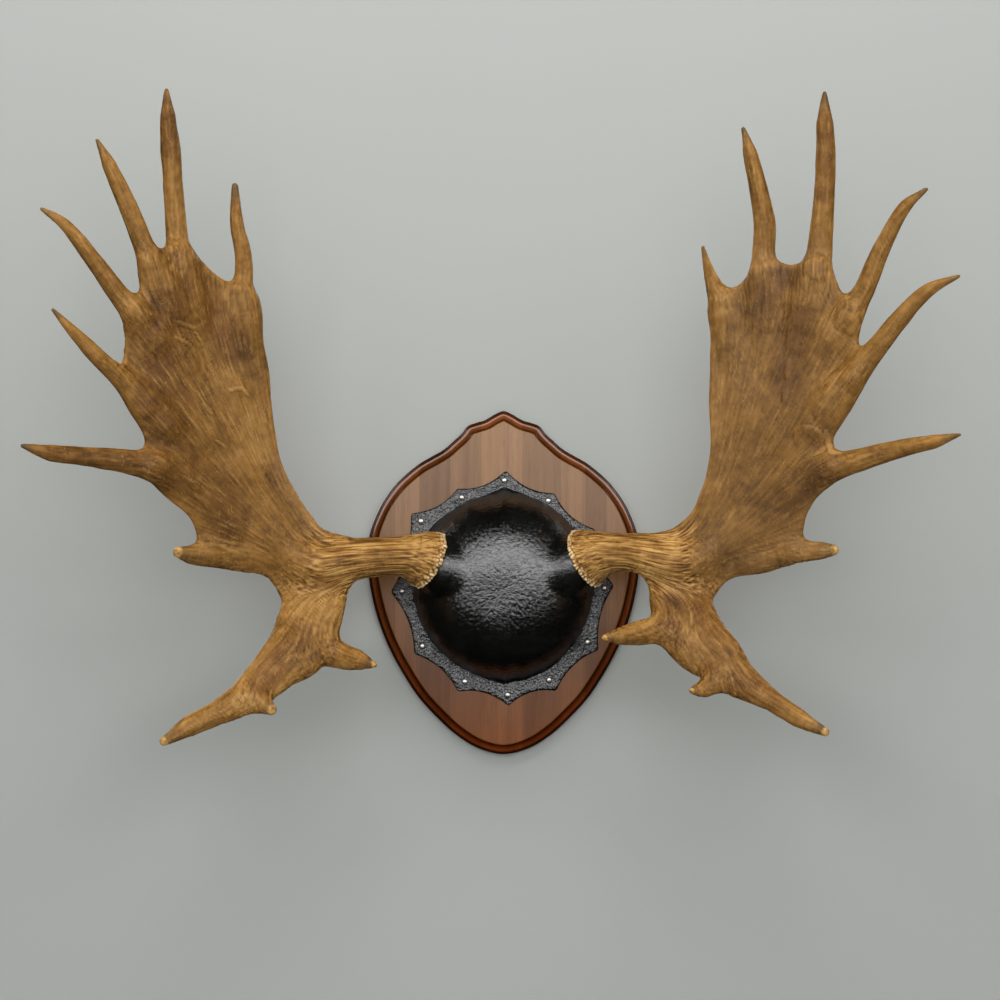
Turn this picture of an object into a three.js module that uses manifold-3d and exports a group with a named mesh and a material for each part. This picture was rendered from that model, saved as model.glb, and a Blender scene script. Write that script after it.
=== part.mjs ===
// A pair of moose antlers on a leather-covered skull boss, mounted on a walnut wall shield.
//
// Millimetres, +Z up. The wall is the plane y = 0 and the mount faces -Y, so a point's
// distance in front of the wall is called "forward" and becomes y = -forward.
// The origin is the centre of the shield's back face.

import * as THREE from 'three';
import { mergeVertices } from 'three/addons/utils/BufferGeometryUtils.js';
import Module from 'manifold-3d';

const wasm = await Module();
wasm.setup();

// ---------------------------------------------------------------- driving sizes

const GAP = 0.3;                     // clearance kept between touching pieces

const SHIELD_THICKNESS = 20;
const SHIELD_STEPS = 60;             // points round the shield's edge

const LEATHER_THICKNESS = 2;
const BOSS_RADIUS = 114;             // half width of the domed boss at its foot
const BOSS_HEIGHT = 88;              // from the shield's face to the crown
const BOSS_STRETCH = 1.03;           // the boss is this much taller than wide
const BOSS_FULLNESS = 3;             // 2 is an ellipsoid, more is a flatter crown
const BOSS_CENTRE_Z = -3;

const TACK_HEAD_RADIUS = 4;
const TACK_HEAD_HEIGHT = 2.4;
const TACK_SHANK_RADIUS = 0.8;
const TACK_LENGTH = 13;
// tacks and the flange's points as [x, z], clockwise from the top, set out by eye
const TACK_PLACES = [[1, 131], [57, 105], [103, 66], [128, -6], [107, -75], [58, -123], [5, -142],
  [-49, -125], [-103, -80], [-129, -10], [-105, 79], [-53, 109]];
const FLANGE_POINTS = [[3, 144], [65, 115], [117, 69], [141, -3], [121, -85], [67, -137], [6, -156],
  [-58, -138], [-114, -90], [-144, -11], [-118, 89], [-59, 121]];
const SCALLOP_DEPTH = 8;

const PEDICLE_RADIUS = 25;
const PEDICLE_LENGTH = 60;
// leather drawn up round each pedicle: its radius at the burr and at the dome, and its length
const COLLAR = { snug: 27.5, wide: 42, length: 28, belowBurr: 0.6 };

const SCREW_HEAD_RADIUS = 4.5;
const SCREW_SHANK_RADIUS = 2.2;
const BACK_SCREW_LENGTH = 46;
const BACK_SCREW_PLACES = [[0, 48], [-52, -38], [52, -38]];

const HANGER = { z: 150, width: 18, height: 56, thickness: 2, screwOffset: 22.5 };
const HANGER_SCREW_LENGTH = 13;
const KEYHOLE = { mouthZ: -8, mouthRadius: 5.5, slotWidth: 5.4, slotTop: 9 };
const KEYHOLE_POCKET = { width: 15, bottomZ: -15, topZ: 14, depth: 12 };

// ---------------------------------------------------------------- antler skeletons
// Each row is [x, forward, z, half width]. Tine A is the innermost tine of the palm and
// G the lowest outer one; H is the outer brow tine, I the inner one and J its knob.

const LEFT_ANTLER = {
  beam: [
    [-92, 85, 30, 33.5], [-97, 87.6, 32.6, 33], [-103, 91, 33, 28.5], [-128, 101, 36, 23.8],
    [-165, 113, 35, 24.2], [-195, 121, 32, 26], [-228, 125, 28, 31], [-250, 130, 32, 24],
  ],
  tines: {
    A: [[-312, 174, 321, 13], [-314, 179, 362, 11.5], [-314, 187, 401, 10.6],
      [-321, 195, 441, 8.4], [-322, 205, 482, 4.4]],
    B: [[-381, 200, 340, 19], [-389, 206, 398, 14], [-393, 213, 456, 12.2],
      [-397, 224, 524, 12], [-399, 231, 562, 9.4], [-400, 235, 592, 3]],
    C: [[-402, 226, 338, 18], [-420, 234, 388, 13], [-441, 246, 446, 11.6],
      [-464, 260, 500, 8.6], [-477, 268, 528, 2.6]],
    D: [[-408, 236, 293, 19], [-445, 246, 335, 13], [-478, 262, 382, 10.6],
      [-513, 280, 428, 7.2], [-538, 290, 445, 2.6]],
    E: [[-419, 240, 210, 15], [-447, 250, 242, 11.8], [-488, 272, 286, 9.4],
      [-524, 295, 327, 2.6]],
    F: [[-407, 224, 142, 17], [-443, 236, 151, 14.8], [-501, 264, 158, 10.8],
      [-529, 280, 161, 10], [-559, 299, 169, 2.8]],
    G: [[-320, 162, 38, 14.5], [-361, 177, 38, 12.9], [-378, 186, 40, 11.4], [-391, 194, 43, 6.8]],
  },
  brow: {
    H: [[-222, 122, 22, 34], [-231, 135, -17, 38], [-240, 148, -50, 39], [-252, 160, -76, 37],
      [-270, 170, -92, 30], [-292, 182, -114, 25], [-316, 195, -134, 19.8], [-345, 208, -150, 14.4],
      [-374, 222, -163, 13], [-403, 236, -180, 5.5]],
    I: [[-227, 140, -73, 20], [-198, 154, -84, 16], [-178, 166, -88, 13], [-156, 182, -93, 3.5]],
    J: [[-306, 188, -128, 14.5], [-291, 194, -139, 10], [-280, 200, -146, 3.5]],
  },
  // inner edge and outer edge of the palm, from the fork to the roots of the top tines
  palm: [
    [[-195, 125, 57], [-263, 125, -15], 44],
    [[-223, 133, 72], [-291, 138, 12], 38],
    [[-244, 141, 99], [-331, 155, 27], 31],
    [[-260, 147, 128], [-364, 175, 50], 26],
    [[-272, 152, 161], [-380, 195, 86], 23],
    [[-278, 156, 191], [-411, 212, 116], 21],
    [[-281, 160, 222], [-422, 225, 151], 20],
    [[-283, 164, 252], [-430, 235, 189], 19],
    [[-287, 168, 282], [-443, 240, 222], 18],
    [[-292, 171, 306], [-450, 243, 262], 18],
    [[-295, 174, 330], [-448, 245, 300], 18],
    [[-300, 177, 350], [-437, 246, 335], 18],
    [[-328, 186, 364], [-429, 246, 354], 18],
    [[-356, 197, 385], [-428, 246, 375], 18],
    [[-376, 206, 403], [-417, 244, 395], 17],
  ],
  fork: { crotch: [-266.7, -12], underBeam: [-191.6, 15], overBeam: [-191.6, 70], beamFloor: -4 },
};

const RIGHT_ANTLER = {
  beam: [
    [100, 85, 32, 33.5], [105, 87.6, 34.6, 33], [110, 91, 36, 28.5], [134, 101, 40, 23.2],
    [162, 112, 41, 23], [186, 120, 36, 26], [219, 125, 32, 31], [241, 130, 36, 24],
  ],
  tines: {
    A: [[267, 174, 321, 13], [256, 183, 359, 11.5], [247, 190, 382, 6.6], [239, 200, 409, 2.6]],
    B: [[317, 200, 340, 18], [311, 206, 392, 14.4], [312, 213, 433, 13.4],
      [307, 218, 461, 12.2], [293, 229, 517, 8.8], [284, 236, 546, 2.8]],
    C: [[367, 226, 338, 20], [375, 233, 404, 15.2], [379, 241, 463, 12.5],
      [380, 250, 516, 11.9], [378, 256, 550, 10], [377, 262, 584, 3]],
    D: [[394, 236, 298, 19], [421, 246, 344, 12.8], [443, 262, 399, 10.8],
      [469, 279, 449, 7.4], [492, 290, 468, 2.6]],
    E: [[396, 240, 224, 18], [435, 254, 279, 12.7], [474, 273, 330, 10.3],
      [497, 284, 352, 8], [528, 296, 366, 2.6]],
    F: [[379, 224, 139, 17], [416, 237, 152, 14.2], [473, 265, 168, 10.3],
      [501, 281, 174, 8.4], [529, 300, 182, 2.6]],
    G: [[314, 162, 33, 14.5], [358, 176, 43, 12.7], [384, 187, 45, 10.6], [397, 194, 46, 6.4]],
  },
  brow: {
    H: [[212, 122, 22, 34], [217, 136, -17, 38], [224, 148, -46, 40], [240, 159, -69, 37],
      [258, 170, -84, 32], [279, 183, -106, 24], [299, 193, -120, 18.6], [321, 205, -134, 13],
      [350, 220, -153, 11.7], [381, 236, -169, 5.5]],
    I: [[222, 140, -48, 20], [194, 148, -51, 17], [163, 162, -56, 15], [141, 173, -59, 10.3],
      [121, 184, -60, 3.5]],
    J: [[264, 178, -107, 14.5], [243, 185, -121, 11], [226, 192, -123, 4]],
  },
  palm: [
    [[182, 125, 60], [251, 125, -10], 44],
    [[207, 133, 70], [283, 138, 15], 38],
    [[228, 141, 91], [327, 155, 30], 31],
    [[239, 147, 113], [356, 175, 55], 26],
    [[247, 152, 140], [366, 195, 90], 23],
    [[251, 156, 169], [380, 212, 116], 21],
    [[251, 160, 198], [393, 225, 146], 20],
    [[249, 164, 227], [392, 235, 181], 19],
    [[249, 168, 256], [405, 240, 218], 18],
    [[249, 171, 285], [415, 243, 257], 18],
    [[251, 174, 312], [416, 245, 297], 18],
    [[252, 177, 333], [409, 246, 328], 18],
    [[266, 186, 352], [400, 246, 349], 18],
    [[290, 197, 369], [390, 246, 367], 18],
    [[309, 206, 384], [364, 244, 383], 17],
  ],
  fork: { crotch: [254.8, -6], underBeam: [180.2, 17.5], overBeam: [180.2, 72], beamFloor: -4 },
};

// right half of the shield's edge as [x, z], from the peak down to the foot
const SHIELD_EDGE = [
  [0, 219.5], [12, 214.8], [24, 207.8], [36, 204.2], [46.5, 199.8], [54.5, 190], [64.5, 180.8],
  [77, 170], [92, 161.2], [107, 152.6], [122, 141], [135.5, 128.5], [146.2, 115.4], [155.6, 101],
  [163.3, 85], [169.5, 68], [173, 48], [173.6, 25], [171, 0], [164.6, -31], [154.8, -62],
  [141, -93], [124.5, -122], [107.5, -147], [87, -169.5], [62, -192.6], [33, -210.6],
];
const SHIELD_FOOT = [0, -218.5];

// routed edge of the shield as [distance in from the edge, height above the back]
const SHIELD_MOULDING = [[0, 0], [0, 8.5], [2.8, 11.8], [4.6, 13], [9, 15], [12.6, 18.4],
  [13.4, SHIELD_THICKNESS]];

// ---------------------------------------------------------------- meshes and solids

function point(x, forward, z) {
  return new THREE.Vector3(x, -forward, z);
}

function signedVolume(positions, triangles) {
  const corners = [new THREE.Vector3(), new THREE.Vector3(), new THREE.Vector3()];
  let volume = 0;
  for (let i = 0; i < triangles.length; i += 3) {
    corners.forEach((corner, k) => corner.fromArray(positions, 3 * triangles[i + k]));
    volume += corners[0].dot(corners[1].clone().cross(corners[2])) / 6;
  }
  return volume;
}

// A manifold solid from any closed three.js geometry, with its faces turned outward.
function solidFrom(geometry) {
  const bare = geometry.clone();
  bare.deleteAttribute('normal');
  bare.deleteAttribute('uv');
  const merged = mergeVertices(bare, 1e-4);
  const vertProperties = Float32Array.from(merged.attributes.position.array);
  const triVerts = Uint32Array.from(merged.index.array);
  if (signedVolume(vertProperties, triVerts) < 0) {
    triVerts.reverse();
  }
  return new wasm.Manifold(new wasm.Mesh({ numProp: 3, vertProperties, triVerts }));
}

function geometryFrom(solid) {
  const mesh = solid.getMesh();
  const geometry = new THREE.BufferGeometry();
  geometry.setAttribute('position', new THREE.BufferAttribute(mesh.vertProperties, 3));
  geometry.setIndex(new THREE.BufferAttribute(mesh.triVerts, 1));
  geometry.computeVertexNormals();
  return geometry;
}

function union(solids) {
  return solids.reduce((whole, next) => whole.add(next));
}

// Closed skin through rings that all have the same number of points, with a fan at each end.
function skinRings(rings) {
  const count = rings[0].length;
  const positions = rings.flat().flatMap((p) => p.toArray());
  const index = [];
  for (let i = 0; i + 1 < rings.length; i += 1) {
    for (let k = 0; k < count; k += 1) {
      const a = i * count + k;
      const b = i * count + ((k + 1) % count);
      index.push(a, b, a + count, b, b + count, a + count);
    }
  }
  const ends = [[0, 1], [rings.length - 1, -1]];
  for (const [ring, turn] of ends) {
    const centre = rings[ring].reduce((sum, p) => sum.add(p), new THREE.Vector3());
    positions.push(...centre.divideScalar(count).toArray());
    const hub = positions.length / 3 - 1;
    for (let k = 0; k < count; k += 1) {
      const a = ring * count + k;
      const b = ring * count + ((k + 1) % count);
      index.push(hub, ...(turn > 0 ? [b, a] : [a, b]));
    }
  }
  const geometry = new THREE.BufferGeometry();
  geometry.setAttribute('position', new THREE.Float32BufferAttribute(positions, 3));
  geometry.setIndex(index);
  return geometry;
}

// A smooth line through rows that begin [x, forward, z].
function lineThrough(rows) {
  return new THREE.CatmullRomCurve3(rows.map(([x, forward, z]) => point(x, forward, z)));
}

// A bar of oval section along a smooth line through rows of [x, forward, z, half width].
function taperedBar(rows, halfDepthOf, sides, stepsPerRow) {
  const line = lineThrough(rows);
  const steps = Math.round((rows.length - 1) * stepsPerRow);
  const intoWall = new THREE.Vector3(0, 1, 0);
  const rings = [];
  for (let i = 0; i <= steps; i += 1) {
    const t = i / steps;
    const place = t * (rows.length - 1);
    const row = Math.min(Math.floor(place), rows.length - 2);
    const halfWidth = THREE.MathUtils.lerp(rows[row][3], rows[row + 1][3], place - row);
    const centre = line.getPoint(t);
    const along = line.getTangent(t);
    const across = along.clone().cross(intoWall).normalize();
    const deep = across.clone().cross(along).normalize();
    const ring = [];
    for (let k = 0; k < sides; k += 1) {
      const angle = (2 * Math.PI * k) / sides;
      ring.push(centre.clone()
        .addScaledVector(across, halfWidth * Math.cos(angle))
        .addScaledVector(deep, halfDepthOf(halfWidth) * Math.sin(angle)));
    }
    rings.push(ring);
  }
  return solidFrom(skinRings(rings));
}

const beamDepth = (halfWidth) => halfWidth * 1.06;
const tineDepth = (halfWidth) => Math.min(0.86 * halfWidth, 5 + 0.3 * halfWidth);
const browDepth = (halfWidth) => Math.min(0.88 * halfWidth, 6 + 0.22 * halfWidth);

// The palm is a dished plate: each section runs from the inner to the outer edge.
const PALM_DISH = 11;
const PALM_SECTION = [[0, 0], [0.06, 0.66], [0.3, 0.97], [0.7, 0.97], [0.94, 0.66]];

function palmPlate(sections) {
  const rings = sections.map(([inner, outer, thickness]) => {
    const from = point(...inner);
    const to = point(...outer);
    const front = [];
    const back = [];
    const width = from.distanceTo(to);
    for (const [t, fullness] of [...PALM_SECTION, [1, 0]]) {
      const dish = PALM_DISH * Math.min(1, width / 140) * 4 * t * (1 - t);
      const middle = from.clone().lerp(to, t).add(new THREE.Vector3(0, dish, 0));
      const half = (thickness / 2) * fullness;
      front.push(middle.clone().add(new THREE.Vector3(0, -half, 0)));
      back.unshift(middle.clone().add(new THREE.Vector3(0, half, 0)));
    }
    return [...front, ...back.slice(1, -1)];
  });
  return solidFrom(skinRings(rings));
}

// Everything on one side of an upright plane through two [x, z] places, seen from the front:
// the half to the left of the way from the first place to the second, moved out by a margin.
const REACH = 3000;

function leftOf([x1, z1], [x2, z2], margin = 0) {
  const way = new THREE.Vector3(x2 - x1, 0, z2 - z1).normalize();
  const left = new THREE.Vector3(-way.z, 0, way.x);
  const box = new THREE.BoxGeometry(REACH, REACH, REACH);
  const turn = new THREE.Matrix4().makeBasis(way, new THREE.Vector3(0, 1, 0), left);
  turn.setPosition(new THREE.Vector3(x1, 0, z1).addScaledVector(left, REACH / 2 - margin));
  box.applyMatrix4(turn);
  return solidFrom(box);
}

// ---------------------------------------------------------------- the antlers

const BEAM_SIDES = 12;
const TINE_SIDES = 6;

function antlerPieces(antler, keepClear) {
  const beam = taperedBar(antler.beam, beamDepth, BEAM_SIDES, 1);
  const palm = union([
    palmPlate(antler.palm),
    ...Object.values(antler.tines).map((rows) => taperedBar(rows, tineDepth, TINE_SIDES, 1.2)),
  ]);
  const brow = union([
    taperedBar(antler.brow.H, browDepth, BEAM_SIDES, 1),
    taperedBar(antler.brow.I, browDepth, TINE_SIDES, 1.2),
    taperedBar(antler.brow.J, browDepth, TINE_SIDES, 1.2),
  ]);
  const whole = union([beam, palm, brow]).subtract(keepClear);

  // the cuts lie across the main fork: one across the beam, one between palm and brow
  const { crotch, underBeam, overBeam, beamFloor } = antler.fork;
  const flip = crotch[0] > underBeam[0];
  const side = (a, b, margin) => (flip ? leftOf(b, a, margin) : leftOf(a, b, margin));
  const aboveFloor = (margin) => leftOf([0, beamFloor], [1, beamFloor], margin);
  const beamRegion = (margin) => side(overBeam, underBeam, margin).intersect(aboveFloor(margin));
  const palmRegion = (margin) => side(underBeam, overBeam, margin)
    .intersect(side(crotch, underBeam, margin));
  return {
    beam: whole.intersect(beamRegion(0)).subtract(palmRegion(GAP)),
    palm: whole.intersect(palmRegion(0)),
    brow: whole.subtract(palmRegion(GAP)).subtract(beamRegion(GAP)),
  };
}

// ---------------------------------------------------------------- boss, leather and tacks

const SHIELD_FACE = SHIELD_THICKNESS + GAP;

// The boss as a dome standing on the shield, made smaller all round by an inset.
function dome(inset, foot, segments) {
  const radius = BOSS_RADIUS - inset;
  const height = BOSS_HEIGHT - inset;
  const profile = [new THREE.Vector2(0, height)];
  const turns = [0.32, 0.55, 0.74, 0.88, 0.96, 1];
  for (const share of turns) {
    profile.push(new THREE.Vector2(radius * share,
      height * Math.sqrt(Math.max(0, 1 - share ** BOSS_FULLNESS))));
  }
  profile.push(new THREE.Vector2(radius, foot), new THREE.Vector2(0, foot));
  const geometry = new THREE.LatheGeometry(profile, segments);
  geometry.scale(1, 1, BOSS_STRETCH);
  geometry.rotateX(Math.PI);
  geometry.translate(0, -SHIELD_FACE, BOSS_CENTRE_Z);
  return solidFrom(geometry);
}

// A round bar from its start along a direction, with a radius at each end.
function taperedPeg(startRadius, endRadius, length, start, direction, sides) {
  const geometry = new THREE.CylinderGeometry(endRadius, startRadius, length, sides);
  geometry.translate(0, length / 2, 0);
  const turn = new THREE.Quaternion().setFromUnitVectors(new THREE.Vector3(0, 1, 0), direction);
  geometry.applyQuaternion(turn);
  geometry.translate(start.x, start.y, start.z);
  return solidFrom(geometry);
}

function roundBar(radius, length, start, direction, sides) {
  return taperedPeg(radius, radius, length, start, direction, sides);
}

// A place on the pedicle's axis, measured back from the burr's flat face, and the way it points.
function underBurr(antler, distance) {
  const line = lineThrough(antler.beam);
  const outward = line.getTangent(0);
  return { place: line.getPoint(0).addScaledVector(outward, -distance), outward };
}

// The line of each pedicle, from inside the skull out to the burr's flat face.
function pedicle(antler, radius, endGap) {
  const { place, outward } = underBurr(antler, endGap + PEDICLE_LENGTH);
  return roundBar(radius, PEDICLE_LENGTH, place, outward, PEDICLE_SIDES);
}

function collar(antler) {
  const { place, outward } = underBurr(antler, COLLAR.belowBurr + COLLAR.length);
  return taperedPeg(COLLAR.wide, COLLAR.snug, COLLAR.length, place, outward, PEDICLE_SIDES);
}

// Flat leather flange: points beyond the tacks, joined by hollow scallops.
function flange() {
  const shape = new THREE.Shape();
  shape.moveTo(...FLANGE_POINTS[0]);
  FLANGE_POINTS.forEach(([x1, z1], i) => {
    const [x2, z2] = FLANGE_POINTS[(i + 1) % FLANGE_POINTS.length];
    const middle = new THREE.Vector2((x1 + x2) / 2, (z1 + z2) / 2);
    const inward = new THREE.Vector2(0, BOSS_CENTRE_Z).sub(middle).setLength(2 * SCALLOP_DEPTH);
    middle.add(inward);
    shape.quadraticCurveTo(middle.x, middle.y, x2, z2);
  });
  const geometry = new THREE.ExtrudeGeometry(shape, {
    depth: LEATHER_THICKNESS, bevelEnabled: false, curveSegments: 5,
  });
  geometry.rotateX(Math.PI / 2);
  geometry.translate(0, -SHIELD_FACE, 0);
  return solidFrom(geometry);
}

const BOSS_SEGMENTS = 24;
const PEDICLE_SIDES = 14;
const leatherHoles = [LEFT_ANTLER, RIGHT_ANTLER]
  .map((antler) => pedicle(antler, PEDICLE_RADIUS + GAP, -20));
const tackHoles = TACK_PLACES.map(([x, z]) => roundBar(
  TACK_SHANK_RADIUS + GAP, TACK_LENGTH + 4, point(x, SHIELD_FACE + LEATHER_THICKNESS + 2, z),
  new THREE.Vector3(0, 1, 0), 6,
));

const leather = union([flange(), dome(0, 0, BOSS_SEGMENTS), collar(LEFT_ANTLER), collar(RIGHT_ANTLER)])
  .subtract(dome(LEATHER_THICKNESS, -10, BOSS_SEGMENTS))
  .subtract(union(leatherHoles))
  .subtract(union(tackHoles));

// Countersunk screw or a slightly larger cutter for its hole, pointing forward from the back.
function screw(length, start, grow) {
  const head = SCREW_HEAD_RADIUS + grow;
  const shank = SCREW_SHANK_RADIUS + grow;
  const profile = [[0, 0], [head, 0], [head, 0.6], [shank, 3.4 + grow], [shank, length - 5],
    [0, length + grow]];
  const geometry = new THREE.LatheGeometry(profile.map(([r, y]) => new THREE.Vector2(r, y)), 8);
  geometry.rotateX(Math.PI);
  geometry.translate(start.x, start.y, start.z);
  return solidFrom(geometry);
}

const SCREW_SINK = 0.8;
const backScrewStarts = BACK_SCREW_PLACES.map(([x, z]) => point(x, SCREW_SINK, z));
const backScrewHoles = union(backScrewStarts.map((start) => screw(BACK_SCREW_LENGTH, start, GAP)));

const skull = union([
  dome(LEATHER_THICKNESS + GAP, 0, BOSS_SEGMENTS),
  pedicle(LEFT_ANTLER, PEDICLE_RADIUS, GAP),
  pedicle(RIGHT_ANTLER, PEDICLE_RADIUS, GAP),
]).subtract(backScrewHoles);

function tack(x, z) {
  const profile = [[0, -TACK_LENGTH], [TACK_SHANK_RADIUS, 2 - TACK_LENGTH], [TACK_SHANK_RADIUS, 0],
    [TACK_HEAD_RADIUS, 0], [TACK_HEAD_RADIUS * 0.75, TACK_HEAD_HEIGHT * 0.68], [0, TACK_HEAD_HEIGHT]];
  const geometry = new THREE.LatheGeometry(profile.map(([r, y]) => new THREE.Vector2(r, y)), 8);
  geometry.rotateX(Math.PI);
  geometry.translate(x, -(SHIELD_FACE + LEATHER_THICKNESS + GAP), z);
  return solidFrom(geometry);
}

// ---------------------------------------------------------------- shield and hanger

function shieldBlank() {
  const right = SHIELD_EDGE.map(([x, z]) => new THREE.Vector2(x, z));
  const left = SHIELD_EDGE.slice(1).reverse().map(([x, z]) => new THREE.Vector2(-x, z));
  const edge = new THREE.SplineCurve([...right, new THREE.Vector2(...SHIELD_FOOT), ...left, right[0]]);
  const places = edge.getSpacedPoints(SHIELD_STEPS).slice(0, -1);
  const normals = places.map((_, i) => {
    const before = places[(i + places.length - 1) % places.length];
    const after = places[(i + 1) % places.length];
    return new THREE.Vector2(-(after.y - before.y), after.x - before.x).normalize();
  });
  const rings = SHIELD_MOULDING.map(([inset, height]) => places.map((place, i) => point(
    place.x - inset * normals[i].x, height, place.y - inset * normals[i].y,
  )));
  return solidFrom(skinRings(rings));
}

function roundedBar(width, height, radius) {
  const shape = new THREE.Shape();
  const [w, h] = [width / 2, height / 2];
  shape.moveTo(-w + radius, -h);
  shape.lineTo(w - radius, -h);
  shape.absarc(w - radius, -h + radius, radius, -Math.PI / 2, 0, false);
  shape.absarc(w - radius, h - radius, radius, 0, Math.PI / 2, false);
  shape.absarc(-w + radius, h - radius, radius, Math.PI / 2, Math.PI, false);
  shape.absarc(-w + radius, -h + radius, radius, Math.PI, 1.5 * Math.PI, false);
  return shape;
}

function keyhole() {
  const half = KEYHOLE.slotWidth / 2;
  const meet = Math.asin(half / KEYHOLE.mouthRadius);
  const path = new THREE.Path();
  path.moveTo(half, KEYHOLE.slotTop);
  path.absarc(0, KEYHOLE.slotTop, half, 0, Math.PI, false);
  path.absarc(0, KEYHOLE.mouthZ, KEYHOLE.mouthRadius, Math.PI / 2 + meet, 2.5 * Math.PI - meet, false);
  path.closePath();
  return path;
}

// A flat piece lying in the back of the shield, from one depth to another.
function backPlate(shape, fromForward, toForward, curveSegments) {
  const geometry = new THREE.ExtrudeGeometry(shape, {
    depth: toForward - fromForward, bevelEnabled: false, curveSegments,
  });
  geometry.rotateX(Math.PI / 2);
  geometry.translate(0, -fromForward, HANGER.z);
  return solidFrom(geometry);
}

const PLATE_SINK = 0.2;
const hangerScrewStarts = [-1, 1].map((side) => point(0, PLATE_SINK, HANGER.z + side * HANGER.screwOffset));
const hangerScrewHoles = union(hangerScrewStarts.map((start) => screw(HANGER_SCREW_LENGTH, start, GAP)));

const hangerShape = roundedBar(HANGER.width, HANGER.height, 4);
hangerShape.holes.push(keyhole());
const hanger = backPlate(hangerShape, PLATE_SINK, PLATE_SINK + HANGER.thickness, 5)
  .subtract(hangerScrewHoles);

const plateRecess = backPlate(
  roundedBar(HANGER.width + 2 * GAP, HANGER.height + 2 * GAP, 4 + GAP),
  -1, PLATE_SINK + HANGER.thickness + GAP, 5,
);
const pocketHeight = KEYHOLE_POCKET.topZ - KEYHOLE_POCKET.bottomZ;
const pocket = backPlate(roundedBar(KEYHOLE_POCKET.width, pocketHeight, 3), 0, KEYHOLE_POCKET.depth, 4)
  .translate([0, 0, (KEYHOLE_POCKET.topZ + KEYHOLE_POCKET.bottomZ) / 2]);

const shield = shieldBlank()
  .subtract(union(tackHoles))
  .subtract(backScrewHoles)
  .subtract(hangerScrewHoles)
  .subtract(union([plateRecess, pocket]));

// ---------------------------------------------------------------- the mount

const materials = {
  antler: { color: 0x8a6538, roughness: 0.72, metalness: 0 },
  walnut: { color: 0x8f6242, roughness: 0.4, metalness: 0 },
  leather: { color: 0x16161a, roughness: 0.45, metalness: 0 },
  bone: { color: 0xcfc3a6, roughness: 0.8, metalness: 0 },
  nickel: { color: 0xd8d8d4, roughness: 0.2, metalness: 1 },
  steel: { color: 0xa9adb0, roughness: 0.38, metalness: 1 },
};

const mount = new THREE.Group();

function addPiece(name, solid, finish) {
  const mesh = new THREE.Mesh(geometryFrom(solid), new THREE.MeshStandardMaterial(materials[finish]));
  mesh.name = name;
  mount.add(mesh);
}

addPiece('plaque', shield, 'walnut');
addPiece('skull_plate', skull, 'bone');
addPiece('leather_cover', leather, 'leather');
TACK_PLACES.forEach(([x, z], i) => {
  addPiece(`tack_${String(i + 1).padStart(2, '0')}`, tack(x, z), 'nickel');
});

const bossClearance = dome(-GAP, 0, BOSS_SEGMENTS);
for (const [side, antler] of [['left', LEFT_ANTLER], ['right', RIGHT_ANTLER]]) {
  for (const [piece, solid] of Object.entries(antlerPieces(antler, bossClearance))) {
    addPiece(`${side}_${piece}`, solid, 'antler');
  }
}

backScrewStarts.forEach((start, i) => {
  addPiece(`back_screw_${i + 1}`, screw(BACK_SCREW_LENGTH, start, 0), 'steel');
});
addPiece('hanger_plate', hanger, 'steel');
hangerScrewStarts.forEach((start, i) => {
  addPiece(`hanger_screw_${i + 1}`, screw(HANGER_SCREW_LENGTH, start, 0), 'steel');
});

export default mount;
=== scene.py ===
"""A pair of moose antlers on a leather-covered boss and a walnut wall shield.

The wall is the plane y = 0, the mount faces -Y and +Z is up. The tables below are in
millimetres, and their rows give a place as [x, forward, z], where forward is the distance
in front of the wall, so y = -forward. Blender objects are made in metres.
"""

import math

import bpy
import numpy as np
from mathutils import Matrix, Vector


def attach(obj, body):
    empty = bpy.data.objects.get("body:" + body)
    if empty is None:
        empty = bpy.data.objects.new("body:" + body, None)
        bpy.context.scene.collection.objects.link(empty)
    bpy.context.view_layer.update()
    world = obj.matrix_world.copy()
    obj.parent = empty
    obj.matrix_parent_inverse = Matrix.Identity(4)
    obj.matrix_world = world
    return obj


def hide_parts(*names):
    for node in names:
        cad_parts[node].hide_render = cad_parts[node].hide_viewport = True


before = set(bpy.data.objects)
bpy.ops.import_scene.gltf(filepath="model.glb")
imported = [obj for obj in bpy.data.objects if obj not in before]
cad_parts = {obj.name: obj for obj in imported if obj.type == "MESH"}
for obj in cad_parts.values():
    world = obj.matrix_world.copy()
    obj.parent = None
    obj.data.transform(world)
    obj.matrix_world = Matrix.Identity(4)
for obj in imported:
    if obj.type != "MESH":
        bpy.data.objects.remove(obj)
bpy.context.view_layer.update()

bl_info = {
    "name": "Moose Antler Wall Mount",
    "version": (1, 0, 0),
    "blender": (4, 5, 0),
    "location": "View3D > Sidebar > Antler Mount",
    "description": "Builds a pair of moose antlers on a leather boss and walnut shield",
    "category": "Object",
}

MM = 0.001

# ------------------------------------------------------------------ antler skeletons
# Rows are [x, forward, z, half width]. Tine A is the innermost tine of the palm and G the
# lowest outer one. H is the outer brow tine, I the inner one and J the knob between them.

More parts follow.
